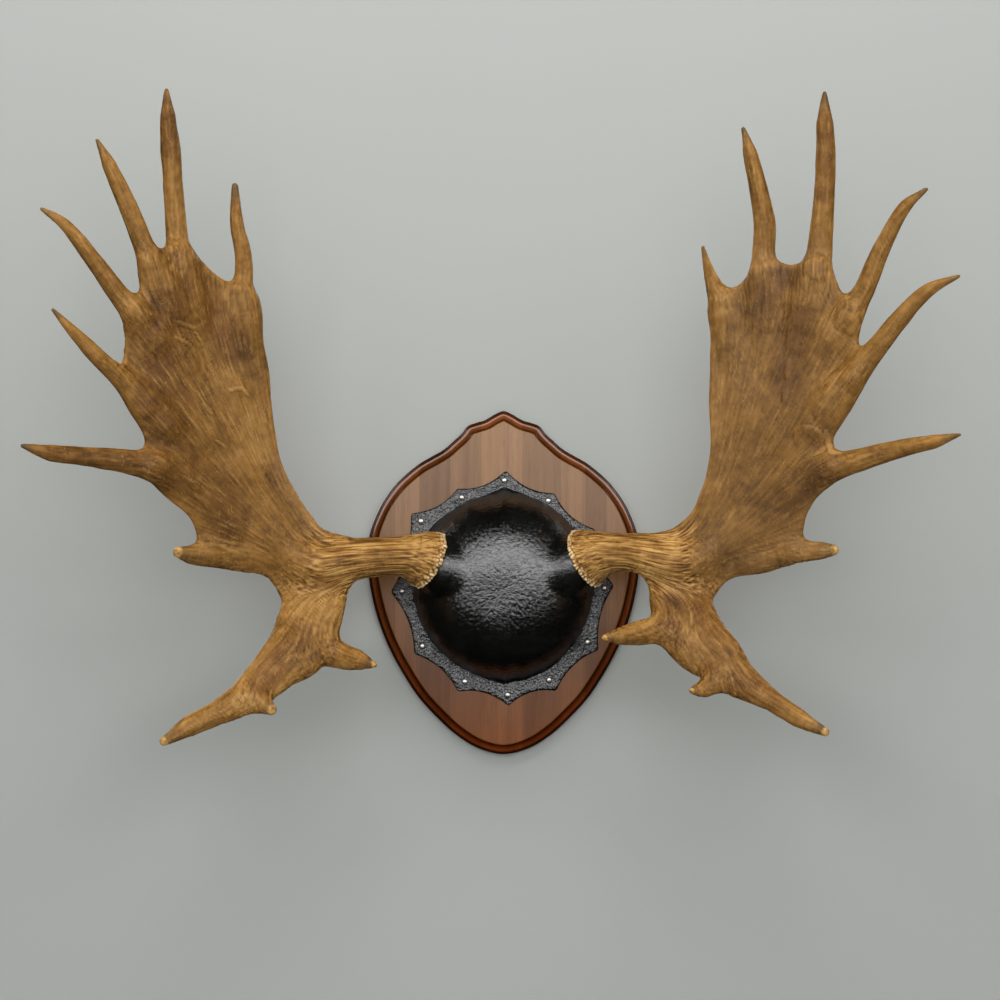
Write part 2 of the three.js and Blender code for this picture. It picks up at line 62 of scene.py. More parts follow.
LEFT_ANTLER = {
    "beam": [
        [-92, 85, 30, 33.5], [-97, 87.6, 32.6, 33], [-103, 91, 33, 28.5], [-128, 101, 36, 23.8],
        [-165, 113, 35, 24.2], [-195, 121, 32, 26], [-228, 125, 28, 31], [-250, 130, 32, 24]],
    "tines": {
        "A": [[-312, 174, 321, 13], [-314, 179, 362, 11.5], [-314, 187, 401, 10.6],
              [-321, 195, 441, 8.4], [-322, 205, 482, 4.4]],
        "B": [[-381, 200, 340, 19], [-389, 206, 398, 14], [-393, 213, 456, 12.2],
              [-397, 224, 524, 12], [-399, 231, 562, 9.4], [-400, 235, 592, 3]],
        "C": [[-402, 226, 338, 18], [-420, 234, 388, 13], [-441, 246, 446, 11.6],
              [-464, 260, 500, 8.6], [-477, 268, 528, 2.6]],
        "D": [[-408, 236, 293, 19], [-445, 246, 335, 13], [-478, 262, 382, 10.6],
              [-513, 280, 428, 7.2], [-538, 290, 445, 2.6]],
        "E": [[-419, 240, 210, 15], [-447, 250, 242, 11.8], [-488, 272, 286, 9.4],
              [-524, 295, 327, 2.6]],
        "F": [[-407, 224, 142, 17], [-443, 236, 151, 14.8], [-501, 264, 158, 10.8],
              [-529, 280, 161, 10], [-559, 299, 169, 2.8]],
        "G": [[-320, 162, 38, 14.5], [-361, 177, 38, 12.9], [-378, 186, 40, 11.4],
              [-391, 194, 43, 6.8]]},
    "brow": {
        "H": [[-222, 122, 22, 34], [-231, 135, -17, 38], [-240, 148, -50, 39],
              [-252, 160, -76, 37], [-270, 170, -92, 30], [-292, 182, -114, 25],
              [-316, 195, -134, 19.8], [-345, 208, -150, 14.4], [-374, 222, -163, 13],
              [-403, 236, -180, 5.5]],
        "I": [[-227, 140, -73, 20], [-198, 154, -84, 16], [-178, 166, -88, 13],
              [-156, 182, -93, 3.5]],
        "J": [[-306, 188, -128, 14.5], [-292, 194, -138, 12], [-279, 199, -145.5, 7]]},
    # palm sections from the fork upward: inner edge, outer edge, thickness
    "palm": [
        [[-195, 125, 57], [-263, 125, -15], 44], [[-223, 133, 72], [-291, 138, 12], 38],
        [[-244, 141, 99], [-331, 155, 27], 31], [[-260, 147, 128], [-364, 175, 50], 26],
        [[-272, 152, 161], [-380, 195, 86], 23], [[-278, 156, 191], [-411, 212, 116], 21],
        [[-281, 160, 222], [-422, 225, 151], 20], [[-283, 164, 252], [-430, 235, 189], 19],
        [[-287, 168, 282], [-443, 240, 222], 18], [[-292, 171, 306], [-450, 243, 262], 18],
        [[-295, 174, 330], [-448, 245, 300], 18], [[-300, 177, 350], [-437, 246, 335], 18],
        [[-328, 186, 364], [-429, 246, 354], 18], [[-356, 197, 385], [-428, 246, 375], 18],
        [[-376, 206, 403], [-417, 244, 395], 17]],
}

RIGHT_ANTLER = {
    "beam": [
        [100, 85, 32, 33.5], [105, 87.6, 34.6, 33], [110, 91, 36, 28.5], [134, 101, 40, 23.2],
        [162, 112, 41, 23], [186, 120, 36, 26], [219, 125, 32, 31], [241, 130, 36, 24]],
    "tines": {
        "A": [[267, 174, 321, 13], [256, 183, 359, 11.5], [247, 190, 382, 6.6],
              [239, 200, 409, 2.6]],
        "B": [[317, 200, 340, 18], [311, 206, 392, 14.4], [312, 213, 433, 13.4],
              [307, 218, 461, 12.2], [293, 229, 517, 8.8], [284, 236, 546, 2.8]],
        "C": [[367, 226, 338, 20], [375, 233, 404, 15.2], [379, 241, 463, 12.5],
              [380, 250, 516, 11.9], [378, 256, 550, 10], [377, 262, 584, 3]],
        "D": [[394, 236, 298, 19], [421, 246, 344, 12.8], [443, 262, 399, 10.8],
              [469, 279, 449, 7.4], [492, 290, 468, 2.6]],
        "E": [[396, 240, 224, 18], [435, 254, 279, 12.7], [474, 273, 330, 10.3],
              [497, 284, 352, 8], [528, 296, 366, 2.6]],
        "F": [[379, 224, 139, 17], [416, 237, 152, 14.2], [473, 265, 168, 10.3],
              [501, 281, 174, 8.4], [529, 300, 182, 2.6]],
        "G": [[314, 162, 33, 14.5], [358, 176, 43, 12.7], [384, 187, 45, 10.6],
              [397, 194, 46, 6.4]]},
    "brow": {
        "H": [[212, 122, 22, 34], [217, 136, -17, 38], [224, 148, -46, 40],
              [240, 159, -69, 37], [258, 170, -84, 32], [279, 183, -106, 24],
              [299, 193, -120, 18.6], [321, 205, -134, 13], [350, 220, -153, 11.7],
              [381, 236, -169, 5.5]],
        "I": [[222, 140, -48, 20], [194, 148, -51, 17], [163, 162, -56, 15],
              [141, 173, -59, 10.3], [121, 184, -60, 3.5]],
        "J": [[264, 178, -107, 14.5], [243, 185, -121, 11], [226, 192, -123, 4]]},
    "palm": [
        [[182, 125, 60], [251, 125, -10], 44], [[207, 133, 70], [283, 138, 15], 38],
        [[228, 141, 91], [327, 155, 30], 31], [[239, 147, 113], [356, 175, 55], 26],
        [[247, 152, 140], [366, 195, 90], 23], [[251, 156, 169], [380, 212, 116], 21],
        [[251, 160, 198], [393, 225, 146], 20], [[249, 164, 227], [392, 235, 181], 19],
        [[249, 168, 256], [405, 240, 218], 18], [[249, 171, 285], [415, 243, 257], 18],
        [[251, 174, 312], [416, 245, 297], 18], [[252, 177, 333], [409, 246, 328], 18],
        [[266, 186, 352], [400, 246, 349], 18], [[290, 197, 369], [390, 246, 367], 18],
        [[309, 206, 384], [364, 244, 383], 17]],
}

BURR_WAY = [0.80, 0.42, 0.42]       # the way the burr faces, outward, forward and up
# the trumpet at the beam's foot: distance along that way, radius
BURR_FLARE = [[-3, 34.6], [3, 34.4], [7, 31.2], [12, 28.0], [19, 24.6], [28, 19.0], [40, 9.0]]
BURR_BEADS = 50
BEAD_HEIGHT = 3.3
FLUTE_HEIGHT = 0.5
BEAM_WAIST = 25         # most half width of the beam near the burr
BEAM_FORK = 34          # most half width of the beam where it widens into the fork
PALM_DISH = 11          # how far the middle of the palm lies behind its edges
TINE_ROOT = 80.0        # how far each tine's ridge runs back over the palm
LINE_STEP = 9           # spacing of the points along a beam or a tine
ANTLER_STEP = 2.3       # size of the cells that an antler's skin is made from
FINE_REACH = 1.6        # the beam's skin is made finer out to this many half widths,
FINE_SHARE = 0.86       # over this share of its length
OUTSIDE = 60.0          # distance stored where no part of the antler is near
REACH = 22.0            # how far round a part the distance is worked out

# ------------------------------------------------------------------ sizes of the mount

SHIELD_FACE = 20.3      # forward of the wall, with the clearance under the leather
LEATHER_TOP = 22.3      # forward of the wall, at the flange
BOSS = {"radius": 114, "height": 88, "stretch": 1.03, "fullness": 3, "centre_z": -3}


# ------------------------------------------------------------------ smooth lines

def smooth_line(rows, step):
    """Points, then the fourth column, along the centripetal curve through rows."""
    rows = np.array(rows, float)
    points = rows[:, :3] * (1, -1, 1)
    padded = np.vstack([2 * points[0] - points[1], points, 2 * points[-1] - points[-2]])
    line, value = [], []
    for i in range(len(points) - 1):
        p0, p1, p2, p3 = padded[i:i + 4]
        d0, d1, d2 = (math.sqrt(np.linalg.norm(b - a)) for a, b in ((p0, p1), (p1, p2), (p2, p3)))
        leave = ((p1 - p0) / d0 - (p2 - p0) / (d0 + d1) + (p2 - p1) / d1) * d1
        arrive = ((p2 - p1) / d1 - (p3 - p1) / (d1 + d2) + (p3 - p2) / d2) * d1
        count = max(2, math.ceil(np.linalg.norm(p2 - p1) / step))
        s = (np.arange(count + (i == len(points) - 2)) / count)[:, None]
        line.append(p1 + leave * s + (3 * (p2 - p1) - 2 * leave - arrive) * s ** 2
                    + (leave + arrive - 2 * (p2 - p1)) * s ** 3)
        value.append(rows[i, 3] + (rows[i + 1, 3] - rows[i, 3]) * s[:, 0])
    return np.vstack(line), np.concatenate(value)


def run_along(line):
    """How far each point is along the line from its start."""
    return np.concatenate([[0], np.cumsum(np.linalg.norm(np.diff(line, axis=0), axis=1))])


def tangents(line):
    """The way the line runs at each point, of length 1."""
    way = np.gradient(line, axis=0)
    return way / np.linalg.norm(way, axis=1, keepdims=True)


def smoothstep(low, high, value):
    """0 up to low and 1 from high on, with a smooth rise between them."""
    t = np.clip((value - low) / (high - low), 0, 1)
    return t * t * (3 - 2 * t)


def beam_depth(width):
    """Half depth, front to back, of a beam of this half width."""
    return width * 1.06


def tine_depth(width):
    return np.minimum(0.86 * width, 5 + 0.3 * width)


def brow_depth(width):
    return np.minimum(0.88 * width, 6 + 0.22 * width)


# ------------------------------------------------------------------ distance volume

class Volume:
    """Signed distance to a surface, in millimetres, on a regular block of places."""

    def __init__(self, low, high, step):
        self.low, self.step = np.array(low, float), step
        self.size = np.ceil((np.array(high) - self.low) / step).astype(int) + 1
        self.distance = np.full(self.size, OUTSIDE, np.float32)

    def places(self, part):
        """The x, y and z of a part of the block, ready to be combined."""
        axes = [np.float32(self.low[k] + self.step * np.arange(part[k].start, part[k].stop))
                for k in range(3)]
        return np.ix_(*axes)

    def window(self, low, high):
        """The part of the block between two corners, and its places."""
        first = np.clip(np.floor((low - self.low) / self.step).astype(int), 0, self.size - 1)
        last = np.clip(np.ceil((high - self.low) / self.step).astype(int) + 1, first + 1, self.size)
        part = tuple(slice(a, b) for a, b in zip(first, last))
        return part, self.places(part)

    def add_bar(self, line, width, depth, blend, ridge=0.0):
        """Joins on a bar of oval section whose half width and half depth change along it.

        Over its first length, ridge, the fillet grows from almost nothing up to blend.
        """
        room = max(width.max(), depth.max()) + REACH
        whole, _ = self.window(line.min(0) - room, line.max(0) + room)
        start = np.array([s.start for s in whole])
        bar = np.full([s.stop - s.start for s in whole], OUTSIDE, np.float32)
        for i in range(len(line) - 1):
            room = max(width[i:i + 2].max(), depth[i:i + 2].max()) + REACH
            ends = line[i:i + 2]
            part, places = self.window(ends.min(0) - room, ends.max(0) + room)
            local = tuple(slice(s.start - a, s.stop - a) for s, a in zip(part, start))
            bar[local] = np.minimum(bar[local], bar_distance(places, ends, width[i:i + 2], depth[i:i + 2]))
        if ridge:
            x, _, z = self.places(whole)
            way = line[np.searchsorted(run_along(line), ridge)] - line[0]
            way[1] = 0
            share = ((x - line[0][0]) * way[0] + (z - line[0][2]) * way[2]) / (way @ way)
            blend = np.float32(0.8 + (blend - 0.8) * smoothstep(0.05, 1.25, share))
        self.distance[whole] = soft_union(self.distance[whole], bar, blend)

    def sample(self, points):
        """The distance at any points, by trilinear interpolation."""
        g = np.clip((points - self.low) / self.step, 0, self.size - 1.001)
        i = g.astype(int)
        f = g - i
        total = 0
        for corner in range(8):
            o = np.array([(corner >> k) & 1 for k in range(3)])
            weight = np.prod(np.where(o, f, 1 - f), axis=1)
            total = total + weight * self.distance[tuple((i + o).T)]
        return total


def bar_distance(places, ends, width, depth):
    """Distance to one length of an oval bar."""
    way = ends[1] - ends[0]
    length = np.linalg.norm(way)
    t = way / length
    deep = np.array([0, 1, 0]) - t * t[1]
    deep /= np.linalg.norm(deep)
    rx, ry, rz = (p - np.float32(c) for p, c in zip(places, ends[0]))
    u = np.clip((rx * t[0] + ry * t[1] + rz * t[2]) / length, 0, 1).astype(np.float32)
    rx, ry, rz = (r - u * np.float32(w) for r, w in zip((rx, ry, rz), way))
    b2 = (rx * deep[0] + ry * deep[1] + rz * deep[2]) ** 2
    a2 = np.maximum(rx * rx + ry * ry + rz * rz - b2, 0)
    w2 = (width[0] + (width[1] - width[0]) * u) ** 2
    h2 = (depth[0] + (depth[1] - depth[0]) * u) ** 2
    k0 = np.sqrt(a2 / w2 + b2 / h2)
    k1 = np.sqrt(a2 / w2 ** 2 + b2 / h2 ** 2)
    return np.where(k1 < 1e-5, -np.sqrt(h2), k0 * (k0 - 1) / np.maximum(k1, 1e-5))


def soft_union(a, b, blend):
    """The nearer of two distances, with a fillet of about the size of blend."""
    near = np.maximum(blend - np.abs(a - b), 0)
    return np.minimum(a, b) - near * near / (4 * blend)


def boss_distance(x, y, z):
    """About how far a place is outside the leather boss."""
    across = np.sqrt(x * x + ((z - BOSS["centre_z"]) / BOSS["stretch"]) ** 2) / BOSS["radius"]
    up = (-y - SHIELD_FACE) / BOSS["height"]
    g = np.sqrt(np.maximum(up, 0) ** 2 + across ** BOSS["fullness"])
    slope = np.sqrt((up / BOSS["height"]) ** 2
                    + (BOSS["fullness"] / 2 * across ** (BOSS["fullness"] - 1) / BOSS["radius"]) ** 2)
    return (g - 1) * g / np.maximum(slope, 1e-4)


# ------------------------------------------------------------------ the palm

def outline_distance(x, z, outline):
    """Signed distance in the x, z plane to a closed outline, negative inside."""
    best = np.full(x.shape, 1e9)
    inside = np.zeros(x.shape, bool)
    for (ax, az), (bx, bz) in zip(outline, np.roll(outline, -1, axis=0)):
        dx, dz = bx - ax, bz - az
        t = np.clip(((x - ax) * dx + (z - az) * dz) / max(dx * dx + dz * dz, 1e-9), 0, 1)
        best = np.minimum(best, (x - ax - t * dx) ** 2 + (z - az - t * dz) ** 2)
        crosses = (az > z) != (bz > z)
        if az != bz:
            inside ^= crosses & (x < ax + (z - az) * dx / dz)
    return np.where(inside, -1, 1) * np.sqrt(best)


def palm_outline(sections):
    """Places [x, z] round the palm, seen from the front."""
    inner = [section[0] + [0] for section in sections]
    outer = [section[1] + [0] for section in sections]
    loop = inner + outer[::-1] + inner[:1]
    return smooth_line(loop, 8)[0][:-1][:, [0, 2]]


def palm_samples(sections):
    """Places across the palm as rows of [x, z, middle y, thickness]."""
    rows = []
    for inner, outer, thickness in sections:
        a = np.array(inner, float) * (1, -1, 1)
        b = np.array(outer, float) * (1, -1, 1)
        span = min(1, np.linalg.norm(b - a) / 140)
        for t in np.linspace(0, 1, 11):
            p = a + (b - a) * t
            rows.append([p[0], p[2], p[1] + PALM_DISH * span * 4 * t * (1 - t), thickness])
    return np.array(rows)


def evened(values, reach):
    """Values on a flat grid, averaged over about reach cells each way."""
    n = int(reach)
    for _ in range(2):
        for axis in (0, 1):
            padded = np.concatenate([np.repeat(np.take(values, [0], axis), n + 1, axis), values,
                                     np.repeat(np.take(values, [-1], axis), n, axis)], axis)
            total = np.cumsum(padded, axis)
            width = 2 * n + 1
            high = np.take(total, range(width, total.shape[axis]), axis)
            low = np.take(total, range(total.shape[axis] - width), axis)
            values = (high - low) / width
    return values


def palm_reading(samples, x, z):
    """The palm's middle and thickness at places seen from the front."""
    weight = ((x[:, None] - samples[:, 0]) ** 2 + (z[:, None] - samples[:, 1]) ** 2 + 100.0) ** -2.5
    weight /= weight.sum(axis=1, keepdims=True)
    return weight @ samples[:, 2], weight @ samples[:, 3]


def add_palm(volume, sections, blend):
    """Joins on the palm: a dished plate that thins to a rounded rim."""
    outline = palm_outline(sections)
    samples = palm_samples(sections)
    low = np.array([outline[:, 0].min(), samples[:, 2].min(), outline[:, 1].min()]) - REACH - 8
    high = np.array([outline[:, 0].max(), samples[:, 2].max(), outline[:, 1].max()]) + REACH + 8
    part, (x, y, z) = volume.window(low, high)
    flat_x, flat_z = np.broadcast_arrays(x[:, 0, :], z[:, 0, :])
    edge = outline_distance(flat_x.astype(float), flat_z.astype(float), outline)
    reading = palm_reading(samples, flat_x.ravel().astype(float), flat_z.ravel().astype(float))
    middle, thick = (evened(v.reshape(flat_x.shape), 26 / volume.step) for v in reading)
    slope = np.gradient(middle, volume.step)
    lean = 1 / np.sqrt(1 + slope[0] ** 2 + slope[1] ** 2)
    rim = 2.6 + 0.11 * thick
    inset = edge + rim
    half = rim + (thick / 2 - rim) * smoothstep(-4, 42, -inset)
    off = np.abs(y - middle[:, None, :]) * lean[:, None, :]
    inset, half, rim = inset[:, None, :], half[:, None, :], rim[:, None, :]
    d = np.where(inset > 0, np.sqrt(inset ** 2 + off ** 2) - rim, off - half).astype(np.float32)
    volume.distance[part] = soft_union(volume.distance[part], d, blend)


# ------------------------------------------------------------------ from volume to mesh

def close_pinches(d):
    """Fills the places where the surface would touch itself along a single edge."""
    for _ in range(4):
        found = 0
        for u, v in ((0, 1), (1, 2), (0, 2)):
            step_u, step_v = np.eye(3, dtype=int)[u], np.eye(3, dtype=int)[v]
            near = [slice(None)] * 3
            views = []
            for i, j in ((0, 0), (1, 0), (0, 1), (1, 1)):
                cut = list(near)
                cut[u] = slice(i, d.shape[u] - 1 + i)
                cut[v] = slice(j, d.shape[v] - 1 + j)
                views.append(d[tuple(cut)] < 0)
            a, b, c, e = views
            for at in np.argwhere((a == e) & (b == c) & (a != b)):
                corners = [at, at + step_u, at + step_v, at + step_u + step_v]
                outside = [tuple(q) for q in corners if d[tuple(q)] >= 0]
                if len(outside) == 2:
                    d[min(outside, key=lambda q: d[q])] = -0.02
                    found += 1
        if not found:
            return


def surface_of(volume):
    """Quad mesh of the zero surface, one vertex in each cell that the surface crosses."""
    d = volume.distance
    close_pinches(d)
    inside = d < 0
    count = sum(inside[i:d.shape[0] - 1 + i, j:d.shape[1] - 1 + j, k:d.shape[2] - 1 + k].astype(np.uint8)
                for i in (0, 1) for j in (0, 1) for k in (0, 1))
    cells = np.argwhere((count > 0) & (count < 8))
    number = np.full(count.shape, -1, np.int32)
    number[tuple(cells.T)] = np.arange(len(cells))
    place, hits = np.zeros((len(cells), 3)), np.zeros(len(cells))
    for axis in range(3):
        others = [k for k in range(3) if k != axis]
        for corner in range(4):
            a = np.zeros(3, int)
            a[others[0]], a[others[1]] = corner & 1, corner >> 1
            b = a.copy()
            b[axis] = 1
            da, db = d[tuple((cells + a).T)], d[tuple((cells + b).T)]
            cut = (da < 0) != (db < 0)
            t = np.where(cut, da / np.where(cut, da - db, 1), 0)
            place += cut[:, None] * (a + t[:, None] * (b - a))
            hits += cut
    vertices = volume.low + volume.step * (cells + place / hits[:, None])
    faces = []
    for axis in range(3):
        u, v = (axis + 1) % 3, (axis + 2) % 3
        near = np.take(inside, range(d.shape[axis] - 1), axis)
        far = np.take(inside, range(1, d.shape[axis]), axis)
        for outward, flip in ((near & ~far, False), (far & ~near, True)):
            at = np.argwhere(outward)
            ring = []
            for du, dv in ((-1, -1), (0, -1), (0, 0), (-1, 0)):
                c = at.copy()
                c[:, u] += du
                c[:, v] += dv
                ring.append(number[tuple(c.T)])
            faces.append(np.stack(ring[::-1] if flip else ring, axis=1))
    return vertices, np.vstack(faces)


class Skin:
    """A mesh of quads and triangles held as arrays, with each vertex's neighbours."""

    def __init__(self, vertices, *faces):
        self.vertices, self.faces = vertices, faces
        pairs = np.vstack([f[:, [k, (k + 1) % f.shape[1]]] for f in faces for k in range(f.shape[1])])
        self.a = np.concatenate([pairs[:, 0], pairs[:, 1]])
        self.b = np.concatenate([pairs[:, 1], pairs[:, 0]])
        self.count = np.bincount(self.a, minlength=len(vertices))

    def average(self, values):
        """The mean of each vertex's neighbours."""
        if values.ndim == 1:
            return np.bincount(self.a, values[self.b], len(self.vertices)) / self.count
        return np.stack([self.average(values[:, k]) for k in range(values.shape[1])], axis=1)

    def normals(self):
        v, total = self.vertices, np.zeros(self.vertices.shape)
        for f in self.faces:
            face = np.cross(v[f[:, 2]] - v[f[:, 0]], v[f[:, -1]] - v[f[:, 1]])
            for k in range(f.shape[1]):
                for c in range(3):
                    total[:, c] += np.bincount(f[:, k], face[:, c], len(v))
        return total / np.maximum(np.linalg.norm(total, axis=1, keepdims=True), 1e-9)

    def settle(self, volume, rounds):
        """Evens out the vertices along the surface and puts them back on it."""
        for _ in range(rounds):
            self.vertices += 0.6 * (self.average(self.vertices) - self.vertices)
            for _ in range(2):
                self.vertices -= volume.sample(self.vertices)[:, None] * self.normals()

    def refined(self, picked):
        """The skin with each picked quad cut in four, and the quads next to them in triangles."""
        v, quads = self.vertices, self.faces[0]
        size = len(v)
        sides = np.stack([quads, np.roll(quads, -1, axis=1)], axis=2)
        keys = sides.min(axis=2).astype(np.int64) * size + sides.max(axis=2)
        split = np.unique(keys[picked])
        middles = (v[split // size] + v[split % size]) / 2
        at = np.clip(np.searchsorted(split, keys), 0, len(split) - 1)
        halfway = np.where(split[at] == keys, size + at, -1)
        hubs = quads[picked]
        hub = size + len(split) + np.arange(len(hubs))
        half = halfway[picked]
        fine = [np.stack([hubs[:, k], half[:, k], hub, half[:, k - 1]], axis=1) for k in range(4)]
        plain = ~picked & (halfway < 0).all(axis=1)
        centres = [v[hubs].mean(axis=1)]
        triangles, extra = [], size + len(split) + len(hubs)
        for quad, half in zip(quads[~picked & ~plain], halfway[~picked & ~plain]):
            loop = [n for k in range(4) for n in (quad[k], half[k]) if n >= 0]
            triangles += [[a, b, extra] for a, b in zip(loop, loop[1:] + loop[:1])]
            centres.append(v[quad].mean(axis=0)[None])
            extra += 1
        return Skin(np.vstack([v, middles, *centres]), np.vstack([quads[plain], *fine]), np.array(triangles))


# ------------------------------------------------------------------ grain that flows

OBLIQUE = np.array(Matrix.Rotation(0.9, 3, Vector((0.3, 0.8, 0.5))))


class Noise:
    """Smooth random values in space, from a seeded block that repeats."""

    SIZE = 48

    def __init__(self, seed):
        self.block = np.random.default_rng(seed).normal(size=(self.SIZE,) * 3).astype(np.float32)

    def at(self, points, cell):
        g = points @ OBLIQUE / cell
        i = np.floor(g).astype(int)
        f = g - i
        f = f * f * (3 - 2 * f)
        total = 0
        for corner in range(8):
            o = np.array([(corner >> k) & 1 for k in range(3)])
            weight = np.prod(np.where(o, f, 1 - f), axis=1)
            total = total + weight * self.block[tuple(((i + o) % self.SIZE).T)]
        return total


class Flow:
    """The way the grain runs, on a flat grid of x and z, from the antler's own lines."""

    STEP = 5.0

    def __init__(self, guides, low, high):
        self.low = np.array([low[0], low[2]], float)
        size = np.ceil((np.array([high[0], high[2]]) - self.low) / self.STEP).astype(int) + 2
        x, z = np.meshgrid(*(self.low[k] + self.STEP * np.arange(size[k]) for k in (0, 1)), indexing="ij")
        way = np.zeros((*size, 3))
        for line, spread in guides:
            t = tangents(line)
            d2 = (x[..., None] - line[:, 0]) ** 2 + (z[..., None] - line[:, 2]) ** 2
            nearest = d2.argmin(axis=-1)
            best = np.take_along_axis(d2, nearest[..., None], -1)[..., 0]
            weight = np.exp(-best / (2 * spread ** 2)) + 1e-5 / (best + 1)
            way += weight[..., None] * t[nearest]
        way /= np.linalg.norm(way, axis=-1, keepdims=True)
        for _ in range(10):
            for axis in (0, 1):
                way = 0.5 * way + 0.25 * (np.roll(way, 1, axis) + np.roll(way, -1, axis))
        self.way = way / np.linalg.norm(way, axis=-1, keepdims=True)

    def at(self, points):
        g = np.clip((points[:, [0, 2]] - self.low) / self.STEP, 0, np.array(self.way.shape[:2]) - 1.01)
        i = g.astype(int)
        f = g - i
        way = 0
        for du in (0, 1):
            for dv in (0, 1):
                weight = (f[:, 0] if du else 1 - f[:, 0]) * (f[:, 1] if dv else 1 - f[:, 1])
                way = way + weight[:, None] * self.way[i[:, 0] + du, i[:, 1] + dv]
        return way / np.linalg.norm(way, axis=1, keepdims=True)

    def streaks(self, points, noise, cell, length):
        """Noise drawn out along the grain, with a mean of 0 and a spread of 1."""
        stride = 0.65 * cell
        steps = max(2, round(length / stride))
        total = noise.at(points, cell)
        for sign in (1, -1):
            p = points
            for k in range(steps):
                p = p + sign * stride * self.at(p)
                total = total + noise.at(p, cell) * (1 - k / steps)
        return (total - total.mean()) / total.std()


def cell_bumps(points, cell, seed):
    """Rounded bumps, 1 at the middle of each random cell and 0 between them."""
    rng = np.random.default_rng(seed)
    block = rng.random((32, 32, 32, 3))
    g = points / cell
    base = np.floor(g).astype(int)
    best = np.full(len(points), 9.0)
    for dx in (-1, 0, 1):
        for dy in (-1, 0, 1):
            for dz in (-1, 0, 1):
                c = base + (dx, dy, dz)
                centre = c + block[tuple((c % 32).T)]
                best = np.minimum(best, ((g - centre) ** 2).sum(axis=1))
    return np.sqrt(np.clip(1 - best / 0.42, 0, 1))


# ------------------------------------------------------------------ one antler

def antler_lines(antler):
    """A line and its half width for the beam and each tine, with the tines' ridges on the palm."""
    lines = {"beam": smooth_line(antler["beam"], LINE_STEP)}
    for name, rows in antler["brow"].items():
        lines[name] = smooth_line(rows, LINE_STEP)
    outline, samples = palm_outline(antler["palm"]), palm_samples(antler["palm"])
    for name, rows in antler["tines"].items():
        first, second = np.array(rows[0]), np.array(rows[1])
        back = first - (second - first) * TINE_ROOT / np.linalg.norm((second - first)[[0, 2]])
        line, width = smooth_line([[back[0], first[1], back[2], first[3] * 1.1]] + rows, LINE_STEP)
        edge = outline_distance(line[:, 0], line[:, 2], outline)
        free = smoothstep(-12, 30, edge)
        line[:, 1] = free * line[:, 1] + (1 - free) * palm_reading(samples, line[:, 0], line[:, 2])[0]
        lines[name] = line, width
    return lines


def antler_volume(antler, lines, side):
    """The whole antler as one volume; side is -1 for the left one and 1 for the right one."""
    points = np.vstack([line for line, _ in lines.values()])
    before, beyond = np.array([46, 12, 16]), np.array([46, 44, 10])
    (before if side < 0 else beyond)[0] = 10
    volume = Volume(points.min(0) - before, points.max(0) + beyond, ANTLER_STEP)
    add_palm(volume, antler["palm"], 2)
    for name in antler["tines"]:
        line, width = lines[name]
        rise = smoothstep(0, TINE_ROOT + 10, run_along(line))
        volume.add_bar(line, width, tine_depth(width) * (0.35 + 0.65 * rise), 20, TINE_ROOT)
    line, width = lines["beam"]
    widening = smoothstep(60, 120, np.abs(line[:, 0] - line[0, 0]))
    slim = np.minimum(width, BEAM_WAIST + (BEAM_FORK - BEAM_WAIST) * widening)
    for _ in range(10):
        slim[1:-1] = 0.5 * slim[1:-1] + 0.25 * (slim[2:] + slim[:-2])
    volume.add_bar(line, slim, beam_depth(slim), 16)
    for name in antler["brow"]:
        line, width = lines[name]
        volume.add_bar(line, width, brow_depth(width), 18 if name == "H" else 12)
    add_burr(volume, lines["beam"][0], side)
    return volume


def burr_axes(side):
    """The way the burr faces, and two ways across it."""
    out = np.array([side * BURR_WAY[0], -BURR_WAY[1], BURR_WAY[2]])
    out /= np.linalg.norm(out)
    deep = np.array([0, 1, 0]) - out * out[1]
    deep /= np.linalg.norm(deep)
    return out, np.cross(out, deep), deep


def add_burr(volume, line, side):
    """The trumpet at the beam's foot, cut square and clear of the boss."""
    out = burr_axes(side)[0]
    along, width = np.array(BURR_FLARE, float).T
    volume.add_bar(line[0] + out * along[:, None], width, width, 13)
    part, (x, y, z) = volume.window(line[0] - 62, line[0] + 62)
    behind = -((x - line[0][0]) * out[0] + (y - line[0][1]) * out[1] + (z - line[0][2]) * out[2])
    clear = 1.2 - boss_distance(x, y, z)
    volume.distance[part] = np.maximum(volume.distance[part], np.maximum(behind, clear))


def burr_relief(points, foot, side, seed):
    """Flutes that run down the trumpet and end in beads: how far they move each point, and the beads."""
    out, across, deep = burr_axes(side)
    rel = points - foot
    along = rel @ out
    radial = rel - along[:, None] * out
    radius = np.linalg.norm(radial, axis=1)
    wander = Noise(seed).at(points, 11)
    turn = np.arctan2(radial @ deep, radial @ across) / (2 * math.pi) + 0.5
    turn = turn * BURR_BEADS + 0.4 * wander * smoothstep(2, 14, along) + 0.25 * wander
    number = np.floor(turn).astype(int) % BURR_BEADS
    off = 2 * (turn - np.floor(turn)) - 1
    rng = np.random.default_rng(seed)
    size, high, reach = (rng.uniform(least, most, BURR_BEADS)[number]
                         for least, most in ((0.35, 1.35), (0.8, 3.2), (1.8, 4.2)))
    near = (np.abs(along) < 60) & (radius < 60)
    bead = np.sqrt(np.clip(1 - off ** 2 - ((along - high) / reach) ** 2, 0, 1)) * size
    grit = cell_bumps(points, 4.4, seed + 1) * (1 - smoothstep(5, 15 + 4 * wander, along))
    flute = (1 - off ** 2 - 0.5) * (0.5 + 0.5 * size)
    bead = np.maximum(bead, 0.85 * grit) * smoothstep(27, 32, radius) * near
    flute *= near * smoothstep(18, 24, radius) * (1 - smoothstep(6, 26, along))
    height = BEAD_HEIGHT * bead + FLUTE_HEIGHT * flute
    return radial / np.maximum(radius, 1)[:, None] * height[:, None], bead


